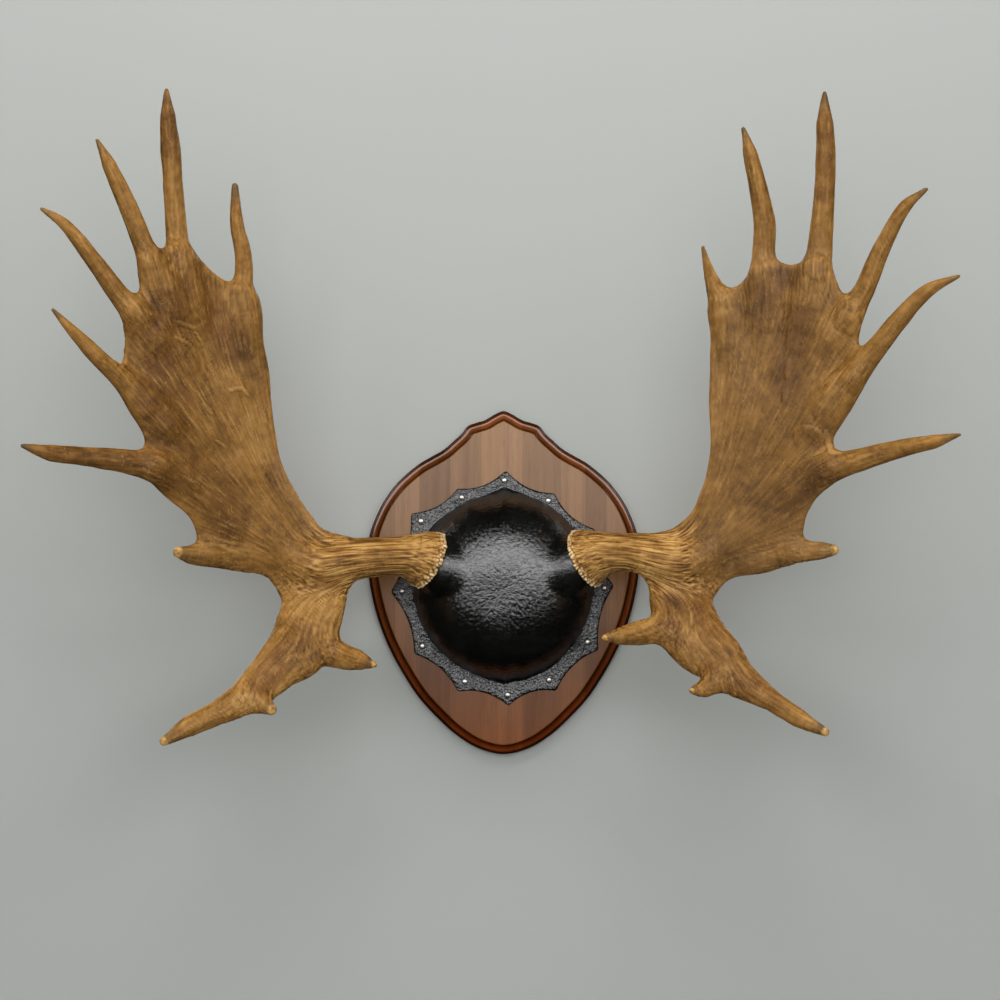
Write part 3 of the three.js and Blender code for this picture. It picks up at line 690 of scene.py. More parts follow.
def antler_flow(antler, lines, volume):
    """The way the grain runs, from the burr through the fork to every tip."""
    beam = antler["beam"]
    guides = [(lines["beam"][0], 26)]
    for name, rows in antler["tines"].items():
        guides.append((smooth_line(beam[4:7] + rows, LINE_STEP)[0], 17))
    guides.append((smooth_line(beam[3:6] + antler["brow"]["H"][2:], LINE_STEP)[0], 20))
    guides += [(lines[name][0], 12) for name in ("I", "J")]
    edge = np.array([row[0] for row in antler["palm"][:12]], float) * (1, -1, 1)
    guides.append((edge, 12))
    high = volume.low + volume.step * volume.size
    return Flow(guides, volume.low, high)


def line_reading(points, line, width):
    """For each point: its distance to the line in half widths, and its share of the way along."""
    best = np.full(len(points), 1e9)
    share = np.zeros(len(points))
    for k, (p, w) in enumerate(zip(line, width)):
        d = ((points - p) ** 2).sum(axis=1) / max(w, 4) ** 2
        closer = d < best
        best = np.where(closer, d, best)
        share = np.where(closer, k / (len(line) - 1), share)
    return np.sqrt(best), share


def zone(points, capsules):
    """1 inside any of the capsules [[x, z], [x, z], radius] seen from the front, 0 outside."""
    total = np.zeros(len(points))
    for (ax, az), (bx, bz), radius in capsules:
        dx, dz = bx - ax, bz - az
        t = ((points[:, 0] - ax) * dx + (points[:, 2] - az) * dz) / max(dx * dx + dz * dz, 1e-6)
        t = np.clip(t, 0, 1)
        away = np.hypot(points[:, 0] - ax - t * dx, points[:, 2] - az - t * dz)
        total = np.maximum(total, 1 - smoothstep(0.55, 1.15, away / radius))
    return total


# where the antlers carry small knobs, dark stain and pale patches: [[x, z], [x, z], radius]
LEFT_ZONES = {
    "knobs": [[[-290, 140], [-212, 56], 15], [[-324, 26], [-268, 4], 15],
              [[-190, -92], [-156, -93], 14], [[-262, -92], [-330, -150], 16],
              [[-190, 22], [-160, 20], 10], [[-444, 312], [-452, 258], 11]],
    "stain": [[[-408, 130], [-398, 330], 34], [[-350, 330], [-380, 392], 22],
              [[-330, 90], [-380, 150], 30], [[-392, 520], [-400, 592], 16],
              [[-250, -60], [-290, -110], 22], [[-352, 120], [-330, 60], 16],
              [[-560, 166], [-440, 156], 22], [[-350, 330], [-326, 290], 26]],
    "pale": [[[-200, 60], [-262, 130], 20], [[-110, 30], [-230, 20], 34],
             [[-300, 170], [-330, 240], 26], [[-238, -10], [-300, -120], 34]],
    "bleached": [[[-225, 80], [-262, 150], 26]],
    "scratches": [[[-387, 318], [-370, 312], 2.6], [[-390, 300], [-375, 292], 2.4],
                  [[-359, 221], [-351, 210], 2.4], [[-329, 239], [-316, 242], 2.6],
                  [[-316, 242], [-309, 233], 2.2], [[-369, 307], [-363, 298], 2.0],
                  [[-346, 178], [-335, 170], 2.0]],
}
RIGHT_ZONES = {
    "knobs": [[[180, -52], [124, -60], 15], [[300, -2], [360, 34], 13],
              [[262, -92], [228, -122], 14], [[214, -70], [250, -104], 13],
              [[160, 22], [205, 4], 11], [[368, 198], [384, 158], 15]],
    "stain": [[[338, 250], [350, 320], 24], [[300, 340], [330, 370], 20],
              [[376, 470], [378, 584], 15], [[330, 90], [372, 140], 22],
              # the last two, wide capsules make the whole right brow darker
              [[218, -10], [236, -62], 44], [[236, -62], [300, -118], 44]],
    "pale": [[[110, 36], [200, 26], 34], [[200, 66], [250, 120], 18],
             [[254, 190], [256, 330], 13]],
    "bleached": [[[310, 60], [315, 200], 80], [[315, 200], [330, 350], 80]],
    "scratches": [[[383, 187], [389, 163], 3.4]],
}


# streaks along the grain: what is added to the seed, width, length
STREAKS = [[5, 1.4, 14], [0, 2.0, 30], [1, 3.4, 70], [2, 15, 90]]
# depth of each kind of relief
RELIEF = {"beam_grooves": 0.24, "palm_ripples": 0.2, "palm_grooves": 0.07, "palm_swell": 0.55,
          "tine_grooves": 0.03, "root_grooves": 0.09, "swell": 0.28, "hair": 0.03, "knobs": 1.1,
          "scratches": 0.6}


def dress(antler, lines, skin, flow, zones, seed, side):
    """Cuts grooves and raises knobs on the skin, and returns what its finish needs."""
    points, normals = skin.vertices, skin.normals()
    hair, fine, groove, broad = (flow.streaks(points, Noise(seed + more), width, length)
                                 for more, width, length in STREAKS)
    edge_on = 1 - smoothstep(0.35, 0.85, np.abs(normals[:, 1]))

    # how far each point belongs to the beam, a tine, its tip and its root, or the rest
    ratio, share = line_reading(points, *lines["beam"])
    beam = (1 - smoothstep(1.2, 1.9, ratio)) * (1 - smoothstep(0.82, 1.0, share))
    tine, tip, root, worn = (np.zeros(len(points)) for _ in range(4))
    for name in list(antler["tines"]) + list(antler["brow"]):
        ratio, share = line_reading(points, *lines[name])
        length = run_along(lines[name][0])[-1]
        start = TINE_ROOT if name in antler["tines"] else 0
        out, left = share * length - start, (1 - share) * length
        near = 1 - smoothstep(1.3, 2.2, ratio)
        tine = np.maximum(tine, near * smoothstep(-20, 20, out))
        tip = np.maximum(tip, near * (1 - smoothstep(2, min(30, 0.3 * (length - start)), left)))
        root = np.maximum(root, near * smoothstep(-30, 0, out) * (1 - smoothstep(10, 90, out)))
        if name in "GHIJ":
            worn = np.maximum(worn, near * (1 - smoothstep(1, 8, left)))
    brow = 1 - smoothstep(1.1, 1.6, line_reading(points, *lines["H"])[0])
    body = np.clip(1 - beam - tine, 0, 1)

    # the relief itself
    knobs = np.clip(zone(points, zones["knobs"]) * (0.2 + 0.8 * edge_on) + 0.3 * brow * edge_on, 0, 1)
    bumps = cell_bumps(points, 4.8, seed + 3)
    move, bead = burr_relief(points, lines["beam"][0][0], side, seed + 4)
    cut = np.clip(0.6 * groove + 0.6 * fine, -2.4, 1.5)
    swell = Noise(seed + 6)
    height = beam * RELIEF["beam_grooves"] * cut
    height += body * (RELIEF["palm_ripples"] * np.clip(broad, -1.8, 1.8) + RELIEF["palm_grooves"] * cut
                      + RELIEF["palm_swell"] * swell.at(points, 34))
    height += tine * (1 - tip) * (RELIEF["tine_grooves"] + RELIEF["root_grooves"] * root) * cut
    height += RELIEF["swell"] * swell.at(points, 16) + RELIEF["hair"] * hair * (1 - tip)
    height += (knobs * RELIEF["knobs"] * (bumps - 0.35)
               + RELIEF["scratches"] * zone(points, zones["scratches"]))
    skin.vertices = points + normals * height[:, None] + move

    # where the finished surface is hollow, judged against the spacing of its points, for painted shade in
    # the hollows and painted light on the ridges
    normals = skin.normals()
    hollow = ((skin.average(skin.vertices) - skin.vertices) * normals).sum(axis=1)
    spacing = np.linalg.norm(skin.vertices[skin.a] - skin.vertices[skin.b], axis=1)
    spacing = np.bincount(skin.a, spacing, len(points)) / skin.count
    hollow = 0.5 + 0.5 * np.clip(hollow / (0.11 * spacing ** 1.5), -1, 1)
    # painted shade along the sides of the tines, beams and brows that turn away from the front
    hollow = np.clip(hollow + 0.28 * edge_on * np.maximum(tine, 0.8 * np.maximum(beam, brow)), 0, 1)
    streaks = {"hair": hair, "grain": fine, "groove": groove, "broad": broad}
    return {
        **{name: np.clip(0.5 + 0.2 * streak, 0, 1) for name, streak in streaks.items()},
        "hollow": hollow,
        "gold": np.clip(0.5 * beam + 0.25 * knobs * bumps + 0.2 * brow
                        + 0.45 * zone(points, zones["pale"]) + 0.3 * edge_on * body + 0.3 * tine, 0, 1),
        # painted highlight: pale cream on the tops of the burr's beads and of the knobs
        "crown": np.clip(2.6 * bead - 1.1 + 0.3 * knobs * bumps, 0, 1),
        "contrast": np.clip(0.19 + 0.54 * beam + 0.12 * brow + 0.14 * tine + 0.16 * edge_on, 0, 1),
        "scratch": zone(points, zones["scratches"]),
        "stain": zone(points, zones["stain"]),
        "tip": tip,
        "worn": worn,
        "bleached": zone(points, zones["bleached"]),
    }


# ------------------------------------------------------------------ objects from arrays

def new_mesh(name, vertices, faces, values=None, smooth=True):
    """An object in metres from places in millimetres."""
    mesh = bpy.data.meshes.new(name)
    mesh.from_pydata(np.asarray(vertices, float) * MM, [], [tuple(map(int, f)) for f in faces])
    for key, value in (values or {}).items():
        mesh.attributes.new(key, "FLOAT", "POINT").data.foreach_set("value", np.float32(value))
    mesh.validate()
    mesh.polygons.foreach_set("use_smooth", [smooth] * len(mesh.polygons))
    obj = bpy.data.objects.new(name, mesh)
    bpy.context.scene.collection.objects.link(obj)
    return obj


def closed_faces(rings, count, points=False):
    """Quads between rings of the same number of points, and the faces that close both ends.

    The ends are flat faces, or fans to the two points that come after the last ring.
    """
    k = np.arange(count)
    n = (k + 1) % count
    faces = []
    for a in range(0, (rings - 1) * count, count):
        faces += np.stack([a + k, a + n, a + count + n, a + count + k], axis=1).tolist()
    end = (rings - 1) * count
    if points:
        first = rings * count
        for here, after in zip(k.tolist(), n.tolist()):
            faces += [[first, after, here], [first + 1, end + here, end + after]]
    else:
        faces += [k[::-1].tolist(), (end + k).tolist()]
    return faces


def lathe(profile, count):
    """A closed solid of revolution about +Z from [radius, height] rows; both ends on the axis."""
    angles = 2 * math.pi * np.arange(count) / count
    middle = profile[1:-1]
    rings = [np.stack([r * np.cos(angles), r * np.sin(angles), np.full(count, h)], axis=1)
             for r, h in middle]
    vertices = np.vstack(rings + [[[0, 0, profile[0][1]]], [[0, 0, profile[-1][1]]]])
    return vertices, closed_faces(len(middle), count, points=True)


def stand(vertices, start, way):
    """Turns places made about +Z so that the axis runs along way from start."""
    turn = Vector((0, 0, 1)).rotation_difference(Vector(way)).to_matrix()
    return np.asarray(vertices, float) @ np.array(turn).T + np.array(start, float)


def cut_away(obj, cutters):
    """Takes the cutters out of the object and removes them."""
    for cutter in cutters:
        modifier = obj.modifiers.new("cut", "BOOLEAN")
        modifier.operation, modifier.solver, modifier.object = "DIFFERENCE", "EXACT", cutter
    graph = bpy.context.evaluated_depsgraph_get()
    mesh = bpy.data.meshes.new_from_object(obj.evaluated_get(graph), depsgraph=graph)
    old = obj.data
    obj.modifiers.clear()
    obj.data = mesh
    mesh.name = obj.name
    bpy.data.meshes.remove(old)
    for cutter in cutters:
        bpy.data.objects.remove(cutter)
    return obj


def finish_piece(obj, material, slot, *nodes):
    """Gives a new piece its finish and body, and hides the nodes it stands for. The slot is not used."""
    obj.data.materials.clear()
    obj.data.materials.append(material)
    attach(obj, "root")
    if nodes:
        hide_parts(*nodes)
    return obj


# ------------------------------------------------------------------ leather cover

TACK_PLACES = [[1, 131], [57, 105], [103, 66], [128, -6], [107, -75], [58, -123], [5, -142],
               [-49, -125], [-103, -80], [-129, -10], [-105, 79], [-53, 109]]
FLANGE_POINTS = [[3, 144], [65, 115], [117, 69], [141, -3], [121, -85], [67, -137], [6, -156],
                 [-58, -138], [-114, -90], [-144, -11], [-118, 89], [-59, 121]]
# where the boss meets the flange: degrees clockwise from the top, radius
BOSS_FOOT = [[0, 128], [10, 121], [20, 117], [30, 118], [40, 115.5], [50, 113], [70, 114], [110, 115],
             [130, 117], [140, 118.5], [150, 122], [170, 124], [180, 127], [190, 121.5], [200, 118],
             [210, 115.5], [250, 115], [285, 115], [300, 118], [310, 120], [320, 118], [330, 115.5],
             [340, 115.5], [350, 119], [360, 128]]
SCALLOP_DEPTH = 8
FLANGE_STEPS = 30       # points along each scallop
FOOT_RINGS = 15         # rings of points where the dome bends out into the flange
FLANGE_RINGS = 15       # rings of points from there to the flange's edge
# the flange's rounded edge: ring, distance in from the edge, distance under the top
FLANGE_EDGE = [[-3, 2.2, 0.05], [-2, 1.1, 0.4], [-1, 0.2, 1.3]]
LEATHER_THICKNESS = 2
PEDICLE_HOLE = 25.3     # radius of the hole round each pedicle


def scalloped_edge():
    """Places [x, z] round the flange: a blunt point, then a hollow scallop, and so on."""
    places = []
    centre = np.array([0, BOSS["centre_z"]])
    corners = np.array(FLANGE_POINTS, float)
    for a, b in zip(corners, np.roll(corners, -1, axis=0)):
        middle = (a + b) / 2
        inward = centre - middle
        middle = middle + inward * 2 * SCALLOP_DEPTH / np.linalg.norm(inward)
        t = np.arange(FLANGE_STEPS)[:, None] / FLANGE_STEPS
        places.append(a * (1 - t) ** 2 + middle * 2 * t * (1 - t) + b * t ** 2)
    places = np.vstack(places)
    blunt = np.roll(places, 1, axis=0) + np.roll(places, -1, axis=0)
    tips = np.arange(0, len(places), FLANGE_STEPS)
    places[tips] = 0.25 * places[tips] + 0.375 * blunt[tips]
    return places


def boss_foot(directions):
    """Radius of the boss's foot, drawn out to blunt points at the top and the bottom."""
    turn = np.degrees(np.arctan2(directions[:, 0], directions[:, 1])) % 360
    angles, radii = zip(*BOSS_FOOT)
    radius = np.interp(turn, angles, radii)
    for _ in range(3):
        radius = 0.5 * radius + 0.25 * (np.roll(radius, 1) + np.roll(radius, -1))
    return radius


def drawn_up(places):
    """Lifts the leather round each pedicle so that it ends just under the burr."""
    flat = places.reshape(-1, 3).copy()
    for antler, side in ((LEFT_ANTLER, -1), (RIGHT_ANTLER, 1)):
        out = burr_axes(side)[0]
        rel = smooth_line(antler["beam"], LINE_STEP)[0][0] - flat
        below = rel @ out
        away = np.linalg.norm(rel - below[:, None] * out, axis=1)
        share = (1 - smoothstep(26, 42, away)) ** 1.4
        flat += out * (np.clip(below - 1.2, 0, 40) * share)[:, None]
    return flat.reshape(places.shape)


def leather_skin():
    """Top of the leather as rings of places from the crown out to the flange's edge.

    With it come its normals, how dull each place is, and the number of rings over the crown.
    """
    edge = scalloped_edge()
    centre = np.array([0, BOSS["centre_z"]])
    reach = np.linalg.norm(edge - centre, axis=1)
    ways = (edge - centre) / reach[:, None]
    foot = boss_foot(ways)
    # dome radius along each way, as the dome is a little taller than it is wide
    full = BOSS["radius"] / np.sqrt(ways[:, 0] ** 2 + (ways[:, 1] / BOSS["stretch"]) ** 2)
    full = np.maximum(full, foot - 7)
    rings = []
    # the dome's rings as shares of its radius, closer together towards its foot
    shares = np.concatenate([np.linspace(0.01, 0.8, 74), 1 - 0.2 * np.linspace(1, 0.09, 30)[1:] ** 1.35])
    for share in shares:
        height = BOSS["height"] * math.sqrt(1 - share ** BOSS["fullness"])
        rings.append((full * share, np.full(len(edge), height)))
    last_r, last_h = rings[-1]
    bend_h = LEATHER_THICKNESS + 1.0
    for t in np.linspace(0, 1, FOOT_RINGS + 1)[1:]:
        rings.append((last_r * (1 - t) ** 2 + full * 2 * t * (1 - t) + foot * t ** 2,
                      last_h * (1 - t) ** 2 + bend_h * 2 * t * (1 - t) + LEATHER_THICKNESS * t ** 2))
    for t in np.linspace(0, 1, FLANGE_RINGS + 1)[1:]:
        rings.append((foot + (reach - foot) * t, np.full(len(edge), float(LEATHER_THICKNESS))))
    for ring, short, drop in FLANGE_EDGE:
        rings[ring] = (reach - short, np.full(len(edge), LEATHER_THICKNESS - drop))
    dome = np.array([np.stack([r * ways[:, 0], -(SHIELD_FACE + h), centre[1] + r * ways[:, 1]], axis=1)
                     for r, h in rings])
    top = drawn_up(dome)
    down = np.gradient(top, axis=0)
    round_ = np.roll(top, -1, axis=1) - np.roll(top, 1, axis=1)
    normal = np.cross(round_, down)
    normal /= np.maximum(np.linalg.norm(normal, axis=2, keepdims=True), 1e-9)
    normal *= np.where(normal[..., 1:2] > 0.2, -1, 1)
    # duller where it is stretched up to the burrs, and down the steep side
    dull = np.maximum(0.45 * smoothstep(0, 24, np.linalg.norm(top - dome, axis=2)),
                      smoothstep(0.45, 0.85, 1 - np.abs(normal[..., 1])))
    return top, normal, dull, len(shares)


def wrinkled(top, normal, crackle, slack):
    """Creases the leather: fine crackle over the crown, folds towards the tacks at the foot."""
    flat = top.reshape(-1, 3)
    height = np.zeros(len(flat))
    away = np.hypot(flat[:, 0], flat[:, 2] - BOSS["centre_z"])
    on_boss = 1 - smoothstep(104, 116, away)
    soft, sharp, fold = Noise(61), Noise(62), Noise(63)
    warp = np.stack([soft.at(flat + k * 31.0, 14) for k in range(3)], axis=1) * 2.2
    # creases run where a warped noise crosses zero
    crease = 1 - np.minimum(1, np.abs(sharp.at(flat + warp, 3.6)) * 1.6)
    small = sharp.at(flat + warp, 2.0)
    height += crackle * on_boss * (0.5 * crease + 0.3 * small)
    height += slack * on_boss * 0.9 * soft.at(flat, 42)
    angle = np.arctan2(flat[:, 0], flat[:, 2] - BOSS["centre_z"])
    band = smoothstep(92, 108, away) * (1 - smoothstep(118, 130, away))
    round_foot = np.stack([9 * np.cos(angle), 9 * np.sin(angle), away / 90], axis=1)
    height += slack * band * 1.1 * fold.at(round_foot, 1.0)
    on_flange = smoothstep(118, 124, away)
    height += on_flange * 0.16 * sharp.at(flat, 7)
    # flat and pressed in a little under each tack
    for x, z in TACK_PLACES:
        near = np.hypot(flat[:, 0] - x, flat[:, 2] - z)
        height = height * smoothstep(3, 9, near) - 0.35 * np.exp(-(near / 5.5) ** 2)
    edge = np.ones(top.shape[:2])
    edge[-2:] = 0.2
    height = height.reshape(top.shape[:2]) * edge
    return top + normal * height[..., None], crease.reshape(top.shape[:2])


def leather_mesh(crackle, slack):
    """The leather with its underside, which needs fewer rings, and the values its finish needs."""
    smooth, normal, dull, crown_rings = leather_skin()
    top, crease = wrinkled(smooth, normal, crackle, slack)
    count = top.shape[1]
    flange_ring = crown_rings + FOOT_RINGS
    under = []
    for i in (*range(top.shape[0] - 1, flange_ring - 1, -5), *range(flange_ring - 1, 3, -6)):
        ring = smooth[i].copy()
        if i < flange_ring:
            ring -= normal[i] * LEATHER_THICKNESS
            ring[:, 1] = np.minimum(ring[:, 1], -SHIELD_FACE)
        else:
            ring[:, 1] = -SHIELD_FACE
        under.append(ring)
    rings = np.concatenate([top, np.array(under)])
    crown = top[0].mean(axis=0)
    hollow = under[-1].mean(axis=0)
    vertices = np.vstack([rings.reshape(-1, 3), crown, hollow])
    faces = closed_faces(len(rings), count, points=True)
    rest = len(vertices) - crease.size
    rim = np.zeros(top.shape[:2])
    rim[-4:] = 1
    flange = smoothstep(flange_ring - 4, flange_ring, np.repeat(np.arange(top.shape[0]), count))
    values = {"crease": (crease, 0.0), "flange": (flange, 0.0), "dull": (dull, 0.0), "rim": (rim, 1.0)}
    return vertices, faces, {key: np.concatenate([seen.ravel(), np.full(rest, unseen)])
                             for key, (seen, unseen) in values.items()}


# ------------------------------------------------------------------ walnut shield

SHIELD_EDGE = [
    [0, 219.5], [12, 214.8], [24, 207.8], [36, 204.2], [46.5, 199.8], [54.5, 190], [64.5, 180.8],
    [77, 170], [92, 161.2], [107, 152.6], [122, 141], [135.5, 128.5], [146.2, 115.4], [155.6, 101],
    [163.3, 85], [169.5, 68], [173, 48], [173.6, 25], [171, 0], [164.6, -31], [154.8, -62],
    [141, -93], [124.5, -122], [107.5, -147], [87, -169.5], [62, -192.6], [33, -210.6]]
SHIELD_FOOT = [0, -218.5]
SHIELD_POINTS = 420
# routed edge: distance in from the edge, height above the back
MOULDING = [[0.7, 0], [0, 0.7], [0, 7.4], [0.5, 8.5], [1.7, 9.9], [2.7, 11.3], [3.3, 12.5], [3.7, 12.9],
            [4.5, 13.1], [5.8, 13.3], [7.2, 13.8], [8.6, 14.7], [9.8, 15.8], [10.8, 17.0],
            [11.5, 18.1], [11.9, 18.8], [12.2, 19.0], [12.7, 19.1], [13.2, 19.5], [13.7, 19.9],
            [14.4, 20.0]]
MOULDING_WIDTH = 15.0


def shield_outline():
    """Places [x, z] round the shield, evenly spaced on a smooth curve through its edge points."""
    right = np.array(SHIELD_EDGE, float)
    left = right[:0:-1] * (-1, 1)
    loop = np.vstack([right, [SHIELD_FOOT], left])
    fine = []
    for i in range(len(loop)):
        p0, p1, p2, p3 = (loop[(i + k) % len(loop)] for k in (-1, 0, 1, 2))
        t = (np.arange(24) / 24)[:, None]
        v0, v1 = (p2 - p0) / 2, (p3 - p1) / 2
        fine.append((2 * p1 - 2 * p2 + v0 + v1) * t ** 3 + (-3 * p1 + 3 * p2 - 2 * v0 - v1) * t ** 2
                    + v0 * t + p1)
    fine = np.vstack(fine)
    run = np.concatenate([[0], np.cumsum(np.linalg.norm(np.roll(fine, -1, axis=0) - fine, axis=1))])
    closed = np.vstack([fine, fine[:1]])
    at = np.linspace(0, run[-1], SHIELD_POINTS + 1)[:-1]
    return np.stack([np.interp(at, run, closed[:, k]) for k in (0, 1)], axis=1)


def inset_rings(outline, insets):
    """Copies of an outline moved in by true distance, so that corners come out mitred."""
    places = outline.copy()
    rings, done = [], 0.0

    def distance(p):
        return -outline_distance(p[:, 0], p[:, 1], outline)

    def way_in(p):
        e = 0.05
        g = np.stack([distance(p + (e, 0)) - distance(p - (e, 0)),
                      distance(p + (0, e)) - distance(p - (0, e))], axis=1)
        return g / np.maximum(np.linalg.norm(g, axis=1, keepdims=True), 1e-6)

    along = np.roll(outline, -1, axis=0) - np.roll(outline, 1, axis=0)
    normal = np.stack([along[:, 1], -along[:, 0]], axis=1)
    normal /= np.linalg.norm(normal, axis=1, keepdims=True)
    normal *= np.sign(distance(outline + 0.5 * normal))[:, None]
    for inset in insets:
        if inset > done:
            places = places + (inset - done) * (normal if done < 0.3 else way_in(places))
            for _ in range(2):
                places = places + (inset - distance(places))[:, None] * way_in(places)
            done = inset
        rings.append(places.copy())
    return rings


def shield_mesh():
    """The shield before its holes are cut, with room for the distance from its edge."""
    outline = shield_outline()
    insets = sorted({row[0] for row in MOULDING})
    by_inset = dict(zip(insets, inset_rings(outline, insets)))
    rings = [np.stack([by_inset[i][:, 0], np.full(SHIELD_POINTS, -h), by_inset[i][:, 1]], axis=1)
             for i, h in MOULDING]
    return (np.vstack(rings), closed_faces(len(rings), SHIELD_POINTS),
            {"inset": np.zeros(len(rings) * SHIELD_POINTS)})


# ------------------------------------------------------------------ metal pieces

INTO_WALNUT = (0, -1, 0)        # the way that screws and bores run, from the back to the front
TACK_HOLE = 1.1
SCREW = {"head": 4.5, "shank": 2.2, "core": 1.65, "cone": 3.4, "pitch": 1.8, "clearance": 0.3}
# cross recess of a screw, at its mouth and at its bottom: half length, half width, depth
CROSS = [[2.6, 0.5, -0.6], [0.9, 0.35, 2.3]]
CROSS_TURN = 0.4
BACK_SCREW = {"length": 46, "sink": 0.8, "places": [[0, 48], [-52, -38], [52, -38]]}
HANGER = {"z": 150, "width": 18, "height": 56, "corner": 4, "thickness": 2, "sink": 0.2, "gap": 0.3,
          "screws": 22.5, "screw_length": 13}
HANGER_SCREW_Z = [HANGER["z"] + side * HANGER["screws"] for side in (-1, 1)]
KEYHOLE = {"mouth_z": -8, "mouth_radius": 5.5, "slot_width": 5.4, "slot_top": 9}
POCKET = {"width": 15, "bottom": -15, "top": 14, "depth": 12}


def screw_profile(length, grow):
    """A countersunk screw without its thread, as [radius, depth] rows from the head to the point."""
    head, shank, cone = SCREW["head"] + grow, SCREW["shank"] + grow, SCREW["cone"] + grow
    return [[0, 0], [head - 0.25, 0], [head, 0.18], [head, 0.6], [shank + 0.2, cone - 0.2],
            [shank, cone + 0.3], [shank, length - 5], [0.35, length + grow - 0.1],
            [0, length + grow]]


def screw_cutter(length, x, forward, z):
    vertices, faces = lathe([[0, -1.5], [SCREW["head"] + 0.3, -1.5]]
                            + screw_profile(length, SCREW["clearance"])[2:], 24)
    return new_mesh("cutter", stand(vertices, (x, -forward, z), INTO_WALNUT), faces)


def hanger_screw_cutters():
    return [screw_cutter(HANGER["screw_length"], 0, HANGER["sink"], z) for z in HANGER_SCREW_Z]


def tack_cutters(forward, length):
    """A narrow bore for the shank of each tack."""
    cutters = []
    for x, z in TACK_PLACES:
        vertices, faces = lathe([[0, 0], [TACK_HOLE, 0], [TACK_HOLE, length], [0, length]], 12)
        cutters.append(new_mesh("cutter", stand(vertices, (x, -forward, z), INTO_WALNUT), faces))
    return cutters


def threaded_screw(name, length, x, forward, z):
    """A countersunk wood screw with a cross recess in its head."""
    profile = screw_profile(length, 0)[:5]
    for k in range(int((length - 9) / SCREW["pitch"])):
        base = SCREW["cone"] + 1.4 + SCREW["pitch"] * k
        taper = min(1.0, (length - 1 - base) / 6)
        core = SCREW["core"] * taper
        profile += [[core, base], [SCREW["shank"] * taper, base + 0.7], [core, base + 1.3]]
    profile += [[0, length]]
    vertices, faces = lathe(profile, 28)
    obj = new_mesh(name, stand(vertices, (x, -forward, z), INTO_WALNUT), faces, smooth=False)
    blades = []
    for turn in (CROSS_TURN, CROSS_TURN + math.pi / 2):
        c, s = math.cos(turn), math.sin(turn)
        corners = [[i * a * c - j * b * s, i * a * s + j * b * c, h] for a, b, h in CROSS
                   for i, j in ((-1, -1), (1, -1), (1, 1), (-1, 1))]
        blades.append(new_mesh("cutter", stand(corners, (x, -forward, z), INTO_WALNUT),
                               closed_faces(2, 4), smooth=False))
    return cut_away(obj, blades)


def rounded_bar(width, height, radius, steps=10):
    """Places [x, z] round a bar with rounded corners, counter-clockwise."""
    places = []
    for i, (sx, sz) in enumerate(((1, 1), (-1, 1), (-1, -1), (1, -1))):
        for a in np.linspace(i * math.pi / 2, (i + 1) * math.pi / 2, steps):
            places.append([sx * (width / 2 - radius) + radius * math.cos(a),
                           sz * (height / 2 - radius) + radius * math.sin(a)])
    return np.array(places)


def keyhole_places(steps=14):
    """Places [x, z] round the keyhole: a narrow slot over a round mouth."""
    half, radius = KEYHOLE["slot_width"] / 2, KEYHOLE["mouth_radius"]
    meet = math.asin(half / radius)
    slot = [[half * math.cos(a), KEYHOLE["slot_top"] + half * math.sin(a)]
            for a in np.linspace(0, math.pi, steps)]
    mouth = [[radius * math.cos(a), KEYHOLE["mouth_z"] + radius * math.sin(a)]
             for a in np.linspace(math.pi / 2 + meet, 2.5 * math.pi - meet, 2 * steps)]
    return np.array(slot + mouth)


def flat_bar(name, places, near, far, z=0.0, ease=0.0):
    """A flat piece with the given outline between two distances in front of the wall."""
    n = len(places)
    middle = places.mean(axis=0)
    small = middle + (places - middle) * (1 - ease / np.abs(places - middle).max())
    levels = [(small, near), (places, near + ease), (places, far - ease), (small, far)]
    if not ease:
        levels = [(places, near), (places, far)]
    rings = [np.stack([p[:, 0], np.full(n, -f), p[:, 1] + z], axis=1) for p, f in levels]
    return new_mesh(name, np.vstack(rings), closed_faces(len(rings), n), smooth=False)


TACK = {"radius": 4.0, "height": 2.4, "shank": 0.8, "length": 13}


def tack_profile():
    """A domed tack with a rolled rim, from the point of its shank to the top of its head."""
    r, h, s = TACK["radius"], TACK["height"], TACK["shank"]
    profile = [[0, -TACK["length"]], [0.12, -TACK["length"] + 0.4], [s, 2 - TACK["length"]], [s, -0.35],
               [s + 0.5, 0.1], [r * 0.8, 0.25], [r - 0.25, 0.02], [r - 0.05, 0.1], [r, 0.32],
               [r - 0.12, 0.58]]
    for t in np.linspace(0.12, 1, 10):
        a = t * math.pi / 2
        profile.append([(r - 0.12) * math.cos(a) ** 0.9 if t < 1 else 0, 0.58 + (h - 0.58) * math.sin(a)])
    return profile


# ------------------------------------------------------------------ finishes

def tint(red, green, blue):
    """A linear colour from the usual 0 to 255 values."""
    linear = [c / 255 / 12.92 if c / 255 <= 0.04045 else ((c / 255 + 0.055) / 1.055) ** 2.4
              for c in (red, green, blue)]
    return (*linear, 1.0)


def shaded(colour, share):
    """The colour at a share of its brightness."""
    return (*(c * share for c in colour[:3]), 1.0)


